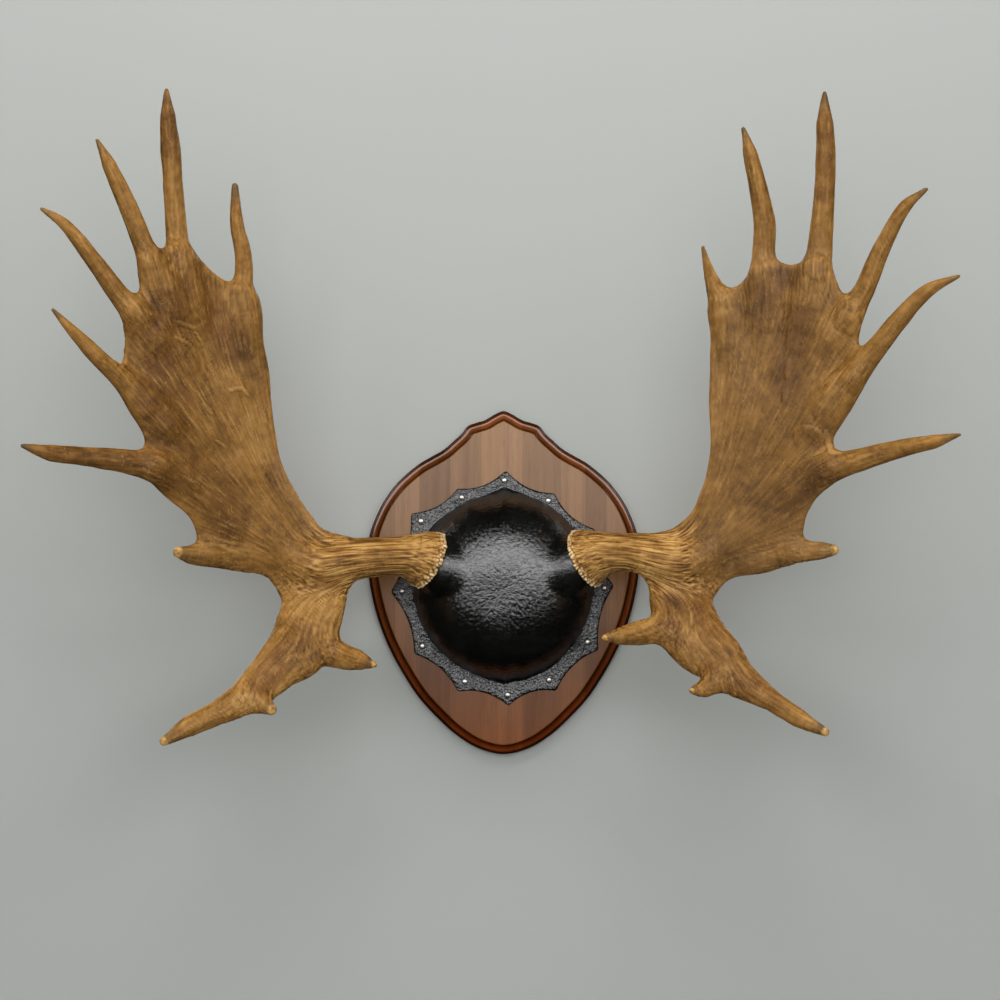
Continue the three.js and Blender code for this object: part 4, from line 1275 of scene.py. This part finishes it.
class Finish:
    """A procedural material, made node by node."""

    def __init__(self, name):
        self.material = bpy.data.materials.new(name)
        self.material.use_nodes = True
        self.tree = self.material.node_tree
        self.shader = next(n for n in self.tree.nodes if n.type == "BSDF_PRINCIPLED")

    def feed(self, socket, value):
        """Links a socket to another one, or sets it to a plain value."""
        if isinstance(value, bpy.types.NodeSocket):
            self.tree.links.new(value, socket)
        else:
            socket.default_value = value

    def set(self, **values):
        """Feeds the shader's own sockets."""
        for key, value in values.items():
            self.feed(self.shader.inputs[key.replace("_", " ")], value)

    def node(self, kind, inputs=None, **settings):
        node = self.tree.nodes.new("ShaderNode" + kind)
        for key, value in settings.items():
            setattr(node, key, value)
        for key, value in (inputs or {}).items():
            self.feed(node.inputs[key], value)
        return node

    def place(self, x=1.0, y=1.0, z=1.0):
        """The place on the piece, stretched along its axes."""
        where = self.node("TexCoord").outputs["Object"]
        return self.node("VectorMath", {0: where, 1: (x, y, z)}, operation="MULTIPLY").outputs[0]

    def value(self, name):
        """A number that the mesh holds at each of its points."""
        return self.node("Attribute", attribute_name=name).outputs["Fac"]

    def noise(self, scale, detail=3.0, vector=None, roughness=0.55, distortion=0.0):
        return self.node("TexNoise", {"Vector": vector or self.place(), "Scale": scale, "Detail": detail,
                                      "Roughness": roughness, "Distortion": distortion}).outputs["Fac"]

    def cells(self, scale, vector=None, feature="F1", output="Distance"):
        return self.node("TexVoronoi", {"Vector": vector or self.place(), "Scale": scale},
                         feature=feature).outputs[output]

    def math(self, operation, a, b=0.5, clamp=False):
        return self.node("Math", {0: a, 1: b}, operation=operation, use_clamp=clamp).outputs[0]

    def times(self, a, b, clamp=False):
        return self.math("MULTIPLY", a, b, clamp)

    def plus(self, a, b, clamp=False):
        return self.math("ADD", a, b, clamp)

    def mapped(self, value, low, high, to_low=0.0, to_high=1.0):
        return self.node("MapRange", {"Value": value, "From Min": low, "From Max": high,
                                      "To Min": to_low, "To Max": to_high}).outputs[0]

    def ramp(self, value, stops, mode="LINEAR"):
        node = self.node("ValToRGB", {"Fac": value})
        band = node.color_ramp
        band.interpolation = mode
        while len(band.elements) < len(stops):
            band.elements.new(1.0)
        for element, (at, colour) in zip(band.elements, stops):
            element.position = at
            element.color = colour if hasattr(colour, "__len__") else (colour, colour, colour, 1.0)
        return node.outputs["Color"]

    def mix(self, share, a, b, mode="MIX"):
        node = self.node("Mix", data_type="RGBA", blend_type=mode)
        for socket, value in ((0, share), (6, a), (7, b)):
            self.feed(node.inputs[socket], value)
        return node.outputs[2]

    def bump(self, height, strength, distance, under=None):
        node = self.node("Bump", {"Height": height, "Strength": strength, "Distance": distance})
        if under is not None:
            self.feed(node.inputs["Normal"], under)
        return node.outputs["Normal"]


def antler_finish(look):
    f = Finish("antler")
    # streaks of four widths, stronger on the beams, over soft patches
    hair, grain, groove, broad = (f.value(name) for name in ("hair", "grain", "groove", "broad"))
    streak = f.plus(f.times(hair, 0.36), f.times(grain, 0.32))
    streak = f.plus(streak, f.times(groove, 0.18))
    streak = f.plus(streak, f.times(broad, 0.14))
    streak = f.times(f.math("SUBTRACT", streak), f.value("contrast"))
    patches = f.plus(f.times(f.noise(14, 5), 0.4), f.times(f.noise(110, 5), 0.3))
    streak = f.plus(f.plus(streak, 0.162), patches, clamp=True)
    horn = f.ramp(streak, [(0.2, shaded(look.dark, 0.7)), (0.38, look.dark), (0.5, look.horn),
                           (0.64, look.light), (0.82, shaded(look.light, 1.3))])
    warm = f.ramp(streak, [(0.2, shaded(look.dark, 0.75)), (0.37, shaded(look.light, 0.55)),
                           (0.5, look.light), (0.66, shaded(look.gold, 0.9)),
                           (0.82, shaded(look.gold, 1.15))])
    colour = f.mix(f.times(f.value("gold"), 0.85, clamp=True), horn, warm)
    # painted highlight in pale cream on the tops of the burr's beads and the knobs
    crown = f.ramp(streak, [(0.3, shaded(look.gold, 1.2)), (0.6, (0.84, 0.7, 0.45, 1))])
    colour = f.mix(f.times(f.value("crown"), 0.6, clamp=True), colour, crown)
    # stains, worn tips and faded patches, each broken up by noise
    stain = f.times(f.value("stain"), f.mapped(f.noise(38, 4), 0.35, 0.62, 0.3, 0.85))
    colour = f.mix(stain, colour, f.mix(1.0, colour, (0.54, 0.46, 0.38, 1), "MULTIPLY"))
    tip = f.times(f.value("tip"), f.mapped(f.noise(30, 3), 0.3, 0.7, 0.45, 0.95))
    colour = f.mix(tip, colour, f.ramp(f.noise(24, 2), [(0.35, look.tip), (0.7, shaded(look.tip, 1.7))]))
    colour = f.mix(f.times(f.value("worn"), f.mapped(f.noise(160, 2), 0.35, 0.6, 0.1, 0.6)),
                   colour, shaded(look.gold, 1.3))
    colour = f.mix(f.times(f.value("bleached"), 0.1), colour, look.bleached)
    # painted shade in the hollows and along the sides that turn away from the front, and painted light on
    # the ridges
    painted_relief_shade = f.ramp(f.value("hollow"), [(0.1, (1.35, 1.32, 1.26, 1)), (0.5, 1.0), (0.75, (0.72, 0.66, 0.6, 1)),
                                      (0.95, (0.45, 0.38, 0.31, 1))])
    colour = f.mix(1.0, colour, painted_relief_shade, "MULTIPLY")
    nicks = f.ramp(f.noise(260, 2, f.place(1, 1, 0.35), distortion=1.5), [(0.62, 0.0), (0.72, 0.26)])
    scratch = f.times(f.value("scratch"), f.mapped(f.noise(420, 3), 0.3, 0.65, 0.05, 0.28))
    fibre = f.times(f.mapped(hair, 0.6, 0.9, 0.0, 0.34), f.mapped(f.noise(22, 3), 0.4, 0.65, 0.1, 1.0))
    nicks = f.math("MAXIMUM", nicks, fibre, clamp=True)
    colour = f.mix(f.math("MAXIMUM", nicks, scratch), colour, shaded(look.gold, 1.05))
    f.set(Base_Color=colour, Roughness=f.mapped(streak, 0.2, 0.9, 0.64, 0.46))
    f.shader.inputs["Specular IOR Level"].default_value = 0.24
    under = f.bump(f.noise(620, 4), 0.25, 0.0005)
    under = f.bump(hair, 0.25, 0.001, under)
    f.set(Normal=f.bump(f.noise(1500, 3), 0.2, 0.00025, under))
    return f.material


def leather_finish(look):
    f = Finish("leather")
    broad = f.noise(26, 3)
    crease = f.value("crease")
    flange = f.value("flange")
    colour = f.ramp(broad, [(0.35, shaded(look.dye, 0.75)), (0.7, shaded(look.dye, 1.3))])
    worn = f.times(crease, f.mapped(broad, 0.35, 0.7, 0.0, 0.5))
    colour = f.mix(worn, colour, look.worn)
    # painted sheen: the flange is a lighter grey than the dye, and its grain is flecked bright over dark
    # pits
    colour = f.mix(flange, colour, look.flange)
    grit = f.noise(380, 1.5)
    flange_grain_sheen = f.ramp(grit, [(0.36, 0.006), (0.5, shaded(look.flange, 0.75)), (0.66, shaded(look.flange, 3.0))])
    colour = f.mix(f.times(flange, 0.8), colour, flange_grain_sheen)
    colour = f.mix(f.value("rim"), colour, shaded(look.dye, 0.5))
    creases = f.noise(240, 1.5, distortion=1.2)
    crackle = f.ramp(f.math("ABSOLUTE", f.math("SUBTRACT", creases)),
                     [(0.0, 1.0), (0.1, 0.35), (0.26, 0.0)])
    normal = f.bump(crackle, 0.3, 0.0006)
    normal = f.bump(f.times(grit, flange), 0.8, 0.0022, normal)
    rough = f.plus(f.mapped(f.noise(120, 4), 0.3, 0.7, 0.14, 0.24), f.times(flange, 0.06))
    rough = f.plus(rough, f.times(f.value("dull"), 0.3))
    f.set(Base_Color=colour, Roughness=rough, Normal=normal)
    f.shader.inputs["Specular IOR Level"].default_value = 1.0
    f.shader.inputs["IOR"].default_value = 1.62
    return f.material


# where the boards of the shield begin, as a share of its width from the left, and their shade
BOARDS = [(0.0, 0.35), (0.115, 0.75), (0.2, 0.2), (0.31, 0.6), (0.42, 0.95), (0.565, 0.45),
          (0.70, 0.8), (0.788, 0.3), (0.86, 0.62)]
BOARDS_REACH = 0.18     # from the middle to each end of that width, in metres
PAINTED_SHEEN_REACH = 0.19      # from the middle to where the painted sheen stops changing, up and down


def walnut_finish(look):
    f = Finish("walnut")
    where = f.node("SeparateXYZ", {0: f.node("TexCoord").outputs["Object"]})
    across = f.mapped(where.outputs["X"], -BOARDS_REACH, BOARDS_REACH)
    boards = f.ramp(across, BOARDS, "CONSTANT")
    shift = f.node("CombineXYZ", {"X": f.times(boards, 9.0), "Z": f.times(boards, 23.0)})

    def grain_place(x, z):
        """The place on its own board, so that the grain breaks off at each joint."""
        moved = f.node("VectorMath", {0: f.place(x, x, z), 1: shift.outputs[0]}, operation="ADD")
        return moved.outputs[0]

    figure = f.noise(1.0, 5, grain_place(62, 3.2), distortion=0.9)
    lines = f.noise(1.0, 4, grain_place(330, 6), distortion=0.3)
    pores = f.noise(1.0, 2, grain_place(1300, 42))
    wood = f.ramp(f.plus(f.times(figure, 0.6), f.times(lines, 0.4)),
                  [(0.22, look.heart), (0.5, look.sap), (0.78, shaded(look.sap, 1.25))])
    board_shade = f.ramp(boards, [(0.0, (0.6, 0.56, 0.52, 1)), (1.0, (1.2, 1.2, 1.2, 1))])
    wood = f.mix(1.0, wood, board_shade, "MULTIPLY")
    # painted light and sheen from above: paler and greyer towards the top, darker and more orange towards
    # the bottom
    height = f.mapped(where.outputs["Z"], -PAINTED_SHEEN_REACH, PAINTED_SHEEN_REACH)
    painted_top_sheen = f.ramp(height, [(0.0, (0.94, 0.55, 0.2, 1)), (0.38, (0.84, 0.68, 0.52, 1)),
                                   (0.72, (1.05, 1.05, 1.05, 1))])
    wood = f.mix(1.0, wood, painted_top_sheen, "MULTIPLY")
    wood = f.mix(f.ramp(pores, [(0.3, 0.45), (0.42, 0.0)]), wood, shaded(look.heart, 0.35))
    # across the routed edge: darker in its grooves, from stain and from painted shade, with painted
    # highlights along its rounds
    inset = f.math("DIVIDE", f.value("inset"), MOULDING_WIDTH)
    edge = f.ramp(inset, [(0.0, (0.16, 0.08, 0.05, 1)), (0.17, (0.22, 0.11, 0.06, 1)),
                          (0.25, (0.4, 0.2, 0.11, 1)), (0.32, (0.85, 0.52, 0.29, 1)),
                          (0.45, (0.8, 0.47, 0.25, 1)), (0.66, (0.5, 0.28, 0.15, 1)),
                          (0.76, (0.22, 0.12, 0.07, 1)), (0.84, (0.3, 0.18, 0.11, 1)),
                          (0.9, (1.3, 1.25, 1.2, 1)), (0.955, (1.0, 1.0, 1.0, 1))])
    colour = f.mix(1.0, wood, edge, "MULTIPLY")
    f.set(Base_Color=colour, Roughness=f.ramp(inset, [(0.2, 0.3), (0.3, 0.16), (0.8, 0.18), (0.95, 0.44)]))
    f.set(Coat_Weight=f.ramp(inset, [(0.2, 0.1), (0.3, 0.8), (0.8, 0.8), (0.95, 0.05)]))
    f.shader.inputs["Coat Roughness"].default_value = 0.14
    f.set(Normal=f.bump(pores, 0.2, 0.0002, f.bump(lines, 0.12, 0.0003)))
    return f.material


def nickel_finish(look):
    f = Finish("nickel")
    tarnish = f.noise(300, 3)
    f.set(Base_Color=f.ramp(tarnish, [(0.35, shaded(look.metal, 0.8)), (0.6, shaded(look.metal, 1.1))]),
          Roughness=f.mapped(f.noise(800, 2), 0.3, 0.7, 0.3, 0.44),
          Normal=f.bump(f.noise(900, 2), 0.06, 0.0002))
    f.shader.inputs["Metallic"].default_value = 1.0
    return f.material


def steel_finish(look):
    f = Finish("steel")
    brushed = f.noise(1.0, 4, f.place(2600, 2600, 60))
    f.set(Base_Color=f.ramp(f.noise(90, 4), [(0.3, shaded(look.metal, 0.6)), (0.7, look.metal)]),
          Roughness=f.mapped(brushed, 0.3, 0.7, 0.28, 0.46), Normal=f.bump(brushed, 0.1, 0.0001))
    f.shader.inputs["Metallic"].default_value = 1.0
    return f.material


def bone_finish(look):
    f = Finish("bone")
    f.set(Base_Color=f.ramp(f.noise(40, 5), [(0.3, shaded(look.bone, 0.6)), (0.7, look.bone)]),
          Roughness=f.mapped(f.noise(200, 3), 0.3, 0.7, 0.65, 0.85),
          Normal=f.bump(f.noise(700, 4), 0.4, 0.0005))
    return f.material


# ------------------------------------------------------------------ settings

def colour_setting(name, description, default):
    return bpy.props.FloatVectorProperty(name=name, description=description, default=default, size=4,
                                         min=0, max=2, subtype="COLOR")


def length_setting(name, description, default):
    return bpy.props.FloatProperty(name=name, description=description, default=default, min=0,
                                   unit="LENGTH", precision=4)


def share_setting(name, description, default):
    return bpy.props.FloatProperty(name=name, description=description, default=default, min=0, max=2,
                                   subtype="FACTOR")


def power_setting(name, description, default):
    return bpy.props.FloatProperty(name=name, description=description, default=default, min=0, unit="POWER")


class AntlerSettings(bpy.types.PropertyGroup):
    dark: colour_setting("Dark horn", "Colour in the deepest streaks", tint(83, 55, 21))
    horn: colour_setting("Horn", "Main colour of the palms", tint(121, 84, 34))
    light: colour_setting("Light horn", "Colour of the beams and of pale streaks", tint(152, 108, 50))
    gold: colour_setting("Gold", "Colour of the palest streaks and of the knobs", tint(192, 151, 88))
    bleached: colour_setting("Bleached", "Colour that faded patches turn to", tint(158, 128, 100))
    tip: colour_setting("Tip", "Colour of the worn tine tips", tint(74, 57, 36))


class LeatherSettings(bpy.types.PropertyGroup):
    dye: colour_setting("Dye", "Colour of the leather", tint(14, 14, 12))
    worn: colour_setting("Worn", "Colour along the worn creases", tint(34, 35, 36))
    # this grey is painted sheen on the flange, lighter than the dye
    flange: colour_setting("Flange", "Colour of the flat flange", tint(48, 49, 51))
    crackle: share_setting("Crackle", "Depth of the fine creases over the crown, in millimetres", 0.4)
    slack: share_setting("Slack", "Depth of the loose folds, in millimetres", 0.8)


class WalnutSettings(bpy.types.PropertyGroup):
    heart: colour_setting("Heartwood", "Colour of the dark grain", tint(92, 61, 36))
    sap: colour_setting("Light grain", "Colour of the light grain", tint(125, 91, 59))


class MetalSettings(bpy.types.PropertyGroup):
    metal: colour_setting("Metal", "Colour of the bare metal", tint(222, 220, 214))
    wobble: share_setting("Wobble", "How unevenly the tacks were driven", 0.5)


class BoneSettings(bpy.types.PropertyGroup):
    bone: colour_setting("Bone", "Colour of the skull plate", tint(206, 194, 166))


class StageSettings(bpy.types.PropertyGroup):
    wall: colour_setting("Wall", "Colour of the wall and the floor", tint(176, 179, 176))
    panel_power: power_setting("Panel", "Power of the wide panel that shines in the leather", 170)
    fill_power: power_setting("Fill light", "Power of the wide light from the front", 84)
    side_power: power_setting("Side lights", "Power of each light at the sides", 20)
    top_power: power_setting("Top light", "Power of the light from above", 58)
    back_power: power_setting("Back light", "Power of each light behind", 38)
    distance: length_setting("Camera distance", "From the wall to the camera", 3.2)


# ------------------------------------------------------------------ operators

class MOUNT_OT_antlers(bpy.types.Operator):
    """Builds both moose antlers as one skin each, with their finish"""

    bl_idname = "antler_mount.antlers"
    bl_label = "Moose Antlers"

    def execute(self, context):
        material = antler_finish(context.scene.antler_look)
        for name, antler, side, zones, seed in (("left", LEFT_ANTLER, -1, LEFT_ZONES, 101),
                                                ("right", RIGHT_ANTLER, 1, RIGHT_ZONES, 202)):
            lines = antler_lines(antler)
            volume = antler_volume(antler, lines, side)
            skin = Skin(*surface_of(volume))
            skin.settle(volume, 4)
            middles = skin.vertices[skin.faces[0]].mean(axis=1)
            ratio, share = line_reading(middles, *lines["beam"])
            skin = skin.refined((ratio < FINE_REACH) & (share < FINE_SHARE))
            skin.settle(volume, 2)
            flow = antler_flow(antler, lines, volume)
            values = dress(antler, lines, skin, flow, zones, seed, side)
            faces = [face for group in skin.faces for face in group]
            obj = new_mesh(f"{name}_antler", skin.vertices, faces, values)
            finish_piece(obj, material, "antler", *(f"{name}_{part}" for part in ("beam", "palm", "brow")))
        return {"FINISHED"}


class MOUNT_OT_leather(bpy.types.Operator):
    """Builds the leather cover, drawn over the boss and out to a scalloped flange"""

    bl_idname = "antler_mount.leather"
    bl_label = "Leather Cover"

    def execute(self, context):
        look = context.scene.leather_look
        cover = new_mesh("leather_boss_cover", *leather_mesh(look.crackle, look.slack))
        cutters = []
        for antler in (LEFT_ANTLER, RIGHT_ANTLER):
            line = smooth_line(antler["beam"], LINE_STEP)[0]
            out = tangents(smooth_line(antler["beam"], 1)[0])[0]
            vertices, faces = lathe([[0, 0], [PEDICLE_HOLE, 0], [PEDICLE_HOLE, 60], [0, 60]], 48)
            cutters.append(new_mesh("cutter", stand(vertices, line[0] - 40 * out, out), faces))
        cut_away(cover, cutters + tack_cutters(16, 12))
        cover.data.polygons.foreach_set("use_smooth", [True] * len(cover.data.polygons))
        finish_piece(cover, leather_finish(look), "leather", "leather_cover")
        return {"FINISHED"}


class MOUNT_OT_shield(bpy.types.Operator):
    """Builds the walnut shield with its routed edge, and the recess in its back"""

    bl_idname = "antler_mount.shield"
    bl_label = "Walnut Shield"

    def execute(self, context):
        shield = new_mesh("walnut_shield", *shield_mesh())
        cutters = [screw_cutter(BACK_SCREW["length"], x, BACK_SCREW["sink"], z)
                   for x, z in BACK_SCREW["places"]] + hanger_screw_cutters()
        gap = HANGER["gap"]
        recess = rounded_bar(HANGER["width"] + 2 * gap, HANGER["height"] + 2 * gap, HANGER["corner"] + gap)
        depth = HANGER["sink"] + HANGER["thickness"] + gap
        cutters.append(flat_bar("cutter", recess, -1, depth, HANGER["z"]))
        pocket = rounded_bar(POCKET["width"], POCKET["top"] - POCKET["bottom"], 3)
        cutters.append(flat_bar("cutter", pocket, -1, POCKET["depth"],
                                HANGER["z"] + (POCKET["top"] + POCKET["bottom"]) / 2))
        cut_away(shield, cutters + tack_cutters(9, 16))
        places = np.zeros(3 * len(shield.data.vertices), np.float32)
        shield.data.vertices.foreach_get("co", places)
        places = places.reshape(-1, 3) / MM
        inset = -outline_distance(places[:, 0], places[:, 2], shield_outline())
        inset = np.clip(inset, 0, MOULDING_WIDTH)
        # the back and the insides of the holes are plain wood
        inset[(places[:, 1] > -0.05) | (inset > 6) & (places[:, 1] > -12)] = MOULDING_WIDTH
        shield.data.attributes["inset"].data.foreach_set("value", np.float32(inset))
        shield.data.set_sharp_from_angle(angle=math.radians(38))
        finish_piece(shield, walnut_finish(context.scene.walnut_look), "walnut", "plaque")
        return {"FINISHED"}


class MOUNT_OT_tacks(bpy.types.Operator):
    """Drives twelve bright domed tacks through the leather's flange"""

    bl_idname = "antler_mount.tacks"
    bl_label = "Tacks"

    def execute(self, context):
        look = context.scene.tack_look
        material = nickel_finish(look)
        rng = np.random.default_rng(7)
        vertices, faces = lathe(tack_profile(), 36)
        for i, (x, z) in enumerate(TACK_PLACES):
            lean = rng.uniform(-0.05, 0.05, 2) * look.wobble
            start = (x, -(LEATHER_TOP + 0.12), z)
            obj = new_mesh(f"domed_tack_{i + 1:02d}", stand(vertices, start, (lean[0], -1, lean[1])), faces)
            obj.data.set_sharp_from_angle(angle=math.radians(50))
            finish_piece(obj, material, "nickel", f"tack_{i + 1:02d}")
        return {"FINISHED"}


class MOUNT_OT_hardware(bpy.types.Operator):
    """Builds the hanger plate and the screws in the back of the shield"""

    bl_idname = "antler_mount.hardware"
    bl_label = "Hanger and Screws"

    def execute(self, context):
        material = steel_finish(context.scene.steel_look)
        near, far = HANGER["sink"], HANGER["sink"] + HANGER["thickness"]
        outline = rounded_bar(HANGER["width"], HANGER["height"], HANGER["corner"])
        plate = flat_bar("keyhole_hanger", outline, near, far, HANGER["z"], ease=0.25)
        keyhole = flat_bar("cutter", keyhole_places(), near - 1, far + 1, HANGER["z"])
        cut_away(plate, [keyhole] + hanger_screw_cutters())
        finish_piece(plate, material, "steel", "hanger_plate")
        for i, z in enumerate(HANGER_SCREW_Z):
            obj = threaded_screw(f"small_wood_screw_{i + 1}", HANGER["screw_length"], 0, HANGER["sink"], z)
            finish_piece(obj, material, "steel", f"hanger_screw_{i + 1}")
        for i, (x, z) in enumerate(BACK_SCREW["places"]):
            obj = threaded_screw(f"long_wood_screw_{i + 1}", BACK_SCREW["length"], x, BACK_SCREW["sink"], z)
            finish_piece(obj, material, "steel", f"back_screw_{i + 1}")
        return {"FINISHED"}


class MOUNT_OT_skull(bpy.types.Operator):
    """Gives the bony core under the leather its finish"""

    bl_idname = "antler_mount.skull"
    bl_label = "Skull Plate"

    def execute(self, context):
        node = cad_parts["skull_plate"]
        material = bone_finish(context.scene.bone_look)
        if node.material_slots:
            for held in node.material_slots:
                held.material = material
        else:
            node.data.materials.append(material)
        return {"FINISHED"}


def area_light(name, place, target, size, power, colour=(1, 1, 1)):
    """A lamp of the given size at a place, turned to face the target."""
    light = bpy.data.lights.new(name, "AREA")
    light.shape, light.size, light.size_y = "RECTANGLE", *size
    light.energy, light.color = power, colour
    obj = bpy.data.objects.new(name, light)
    obj.location = place
    obj.rotation_euler = (Vector(target) - Vector(place)).to_track_quat("-Z", "Y").to_euler()
    bpy.context.scene.collection.objects.link(obj)
    return obj


def backdrop_finish(colour, see_through):
    """A dull paint, which lets the view through from behind where asked."""
    f = Finish("backdrop")
    f.set(Base_Color=f.ramp(f.noise(1.2, 2), [(0.3, shaded(colour, 0.97)), (0.7, colour)]), Roughness=0.95)
    f.shader.inputs["Specular IOR Level"].default_value = 0.1
    if see_through:
        out = next(n for n in f.tree.nodes if n.type == "OUTPUT_MATERIAL")
        clear = f.node("BsdfTransparent").outputs[0]
        behind = f.node("NewGeometry").outputs["Backfacing"]
        both = f.node("MixShader", {0: behind, 1: f.shader.outputs[0], 2: clear})
        f.feed(out.inputs["Surface"], both.outputs[0])
    return f.material


WALL_BACK = 1.0         # how far the wall stands behind the shield, in millimetres
WALL_REACH = 3200
FLOOR_LEVEL = -1100.0
FLOOR_REACH = 6000
# the rest of the stage is in metres
VIEW_CENTRE = (-0.0045, 0.106)      # x and z that the camera faces
LENS, SENSOR = 90, 36               # focal length and film width, in millimetres
ROOM_COLOUR, ROOM_LIGHT = (0.86, 0.88, 0.9, 1), 0.16
LIGHT_AIM = (0, -0.15, 0.12)
LIGHT_COLOUR = (1.0, 0.99, 0.975)
# name, place, width and height, setting of its power
LIGHTS = [["fill_light", (0, -4.0, 1.1), (4.5, 2.6), "fill_power"],
          ["left_light", (-2.6, -2.3, 2.0), (1.2, 1.2), "side_power"],
          ["right_light", (2.6, -2.3, 2.0), (1.2, 1.2), "side_power"],
          ["top_light", (0, -1.5, 2.7), (2.2, 1.2), "top_power"]]
SQUARE = ((-1, -1), (1, -1), (1, 1), (-1, 1))


class MOUNT_OT_stage(bpy.types.Operator):
    """Sets up the wall, floor, lights and camera"""

    bl_idname = "antler_mount.stage"
    bl_label = "Stage"

    def execute(self, context):
        look = context.scene.stage_look
        corners = [[i * WALL_REACH, WALL_BACK, WALL_REACH if j > 0 else FLOOR_LEVEL] for i, j in SQUARE]
        wall = new_mesh("wall", corners, [[0, 1, 2, 3]])
        wall.data.materials.append(backdrop_finish(look.wall, True))
        wall.visible_shadow = wall.visible_diffuse = wall.visible_glossy = False
        corners = [[i * FLOOR_REACH, j * FLOOR_REACH, FLOOR_LEVEL] for i, j in SQUARE]
        floor = new_mesh("floor", corners, [[0, 1, 2, 3]])
        floor.data.materials.append(backdrop_finish(look.wall, False))
        floor.visible_glossy = False
        # the panel shows only as a shine in the leather, and the others only as light
        panel = area_light("front_panel", (0.2, -4.1, 1.2), (0.2, -0.1, 0.15), (8, 2.5), look.panel_power)
        panel.visible_diffuse = False
        for name, place, size, power in LIGHTS:
            light = area_light(name, place, LIGHT_AIM, size, getattr(look, power), LIGHT_COLOUR)
            light.visible_glossy = False
        for side in (-1, 1):
            area_light("back_light", (side * 2.2, 2.6, 1.4), (0, 0, 0.15), (1.8, 1.8), look.back_power)
        world = bpy.data.worlds.new("room")
        world.use_nodes = True
        background = next(n for n in world.node_tree.nodes if n.type == "BACKGROUND")
        background.inputs["Color"].default_value = ROOM_COLOUR
        background.inputs["Strength"].default_value = ROOM_LIGHT
        world.cycles_visibility.glossy = False
        context.scene.world = world
        context.scene.view_settings.view_transform = "Standard"
        lens = bpy.data.cameras.new("camera")
        lens.lens, lens.sensor_width = LENS, SENSOR
        lens.clip_start, lens.clip_end = 0.05, 60
        camera = bpy.data.objects.new("camera", lens)
        camera.location = (VIEW_CENTRE[0], -look.distance, VIEW_CENTRE[1])
        camera.rotation_euler = (math.pi / 2, 0, 0)
        context.scene.collection.objects.link(camera)
        context.scene.camera = camera
        return {"FINISHED"}


# ------------------------------------------------------------------ panel and running

SETTINGS = {"antler_look": AntlerSettings, "leather_look": LeatherSettings, "walnut_look": WalnutSettings,
            "tack_look": MetalSettings, "steel_look": MetalSettings, "bone_look": BoneSettings,
            "stage_look": StageSettings}
OPERATORS = (MOUNT_OT_antlers, MOUNT_OT_leather, MOUNT_OT_shield, MOUNT_OT_tacks, MOUNT_OT_hardware,
             MOUNT_OT_skull, MOUNT_OT_stage)


class MOUNT_PT_sidebar(bpy.types.Panel):
    """Lists the settings and the steps that build the mount"""

    bl_label = "Antler Mount"
    bl_idname = "MOUNT_PT_sidebar"
    bl_space_type = "VIEW_3D"
    bl_region_type = "UI"
    bl_category = "Antler Mount"

    def draw(self, context):
        layout = self.layout
        for key, group in SETTINGS.items():
            box = layout.box()
            box.label(text=key.replace("_", " ").capitalize())
            for prop in group.__annotations__:
                box.prop(getattr(context.scene, key), prop)
        for operator in OPERATORS:
            layout.operator(operator.bl_idname)


def register():
    for group in dict.fromkeys(SETTINGS.values()):
        bpy.utils.register_class(group)
    for cls in (*OPERATORS, MOUNT_PT_sidebar):
        bpy.utils.register_class(cls)
    for key, group in SETTINGS.items():
        setattr(bpy.types.Scene, key, bpy.props.PointerProperty(type=group))


def unregister():
    for key in SETTINGS:
        delattr(bpy.types.Scene, key)
    for cls in (MOUNT_PT_sidebar, *reversed(OPERATORS)):
        bpy.utils.unregister_class(cls)
    for group in dict.fromkeys(SETTINGS.values()):
        bpy.utils.unregister_class(group)


def main():
    register()
    for operator in OPERATORS:
        step = getattr(bpy.ops.antler_mount, operator.bl_idname.split(".")[1])
        if step() != {"FINISHED"}:
            raise RuntimeError(f"{operator.bl_label} did not finish")


if __name__ == "__main__":
    main()
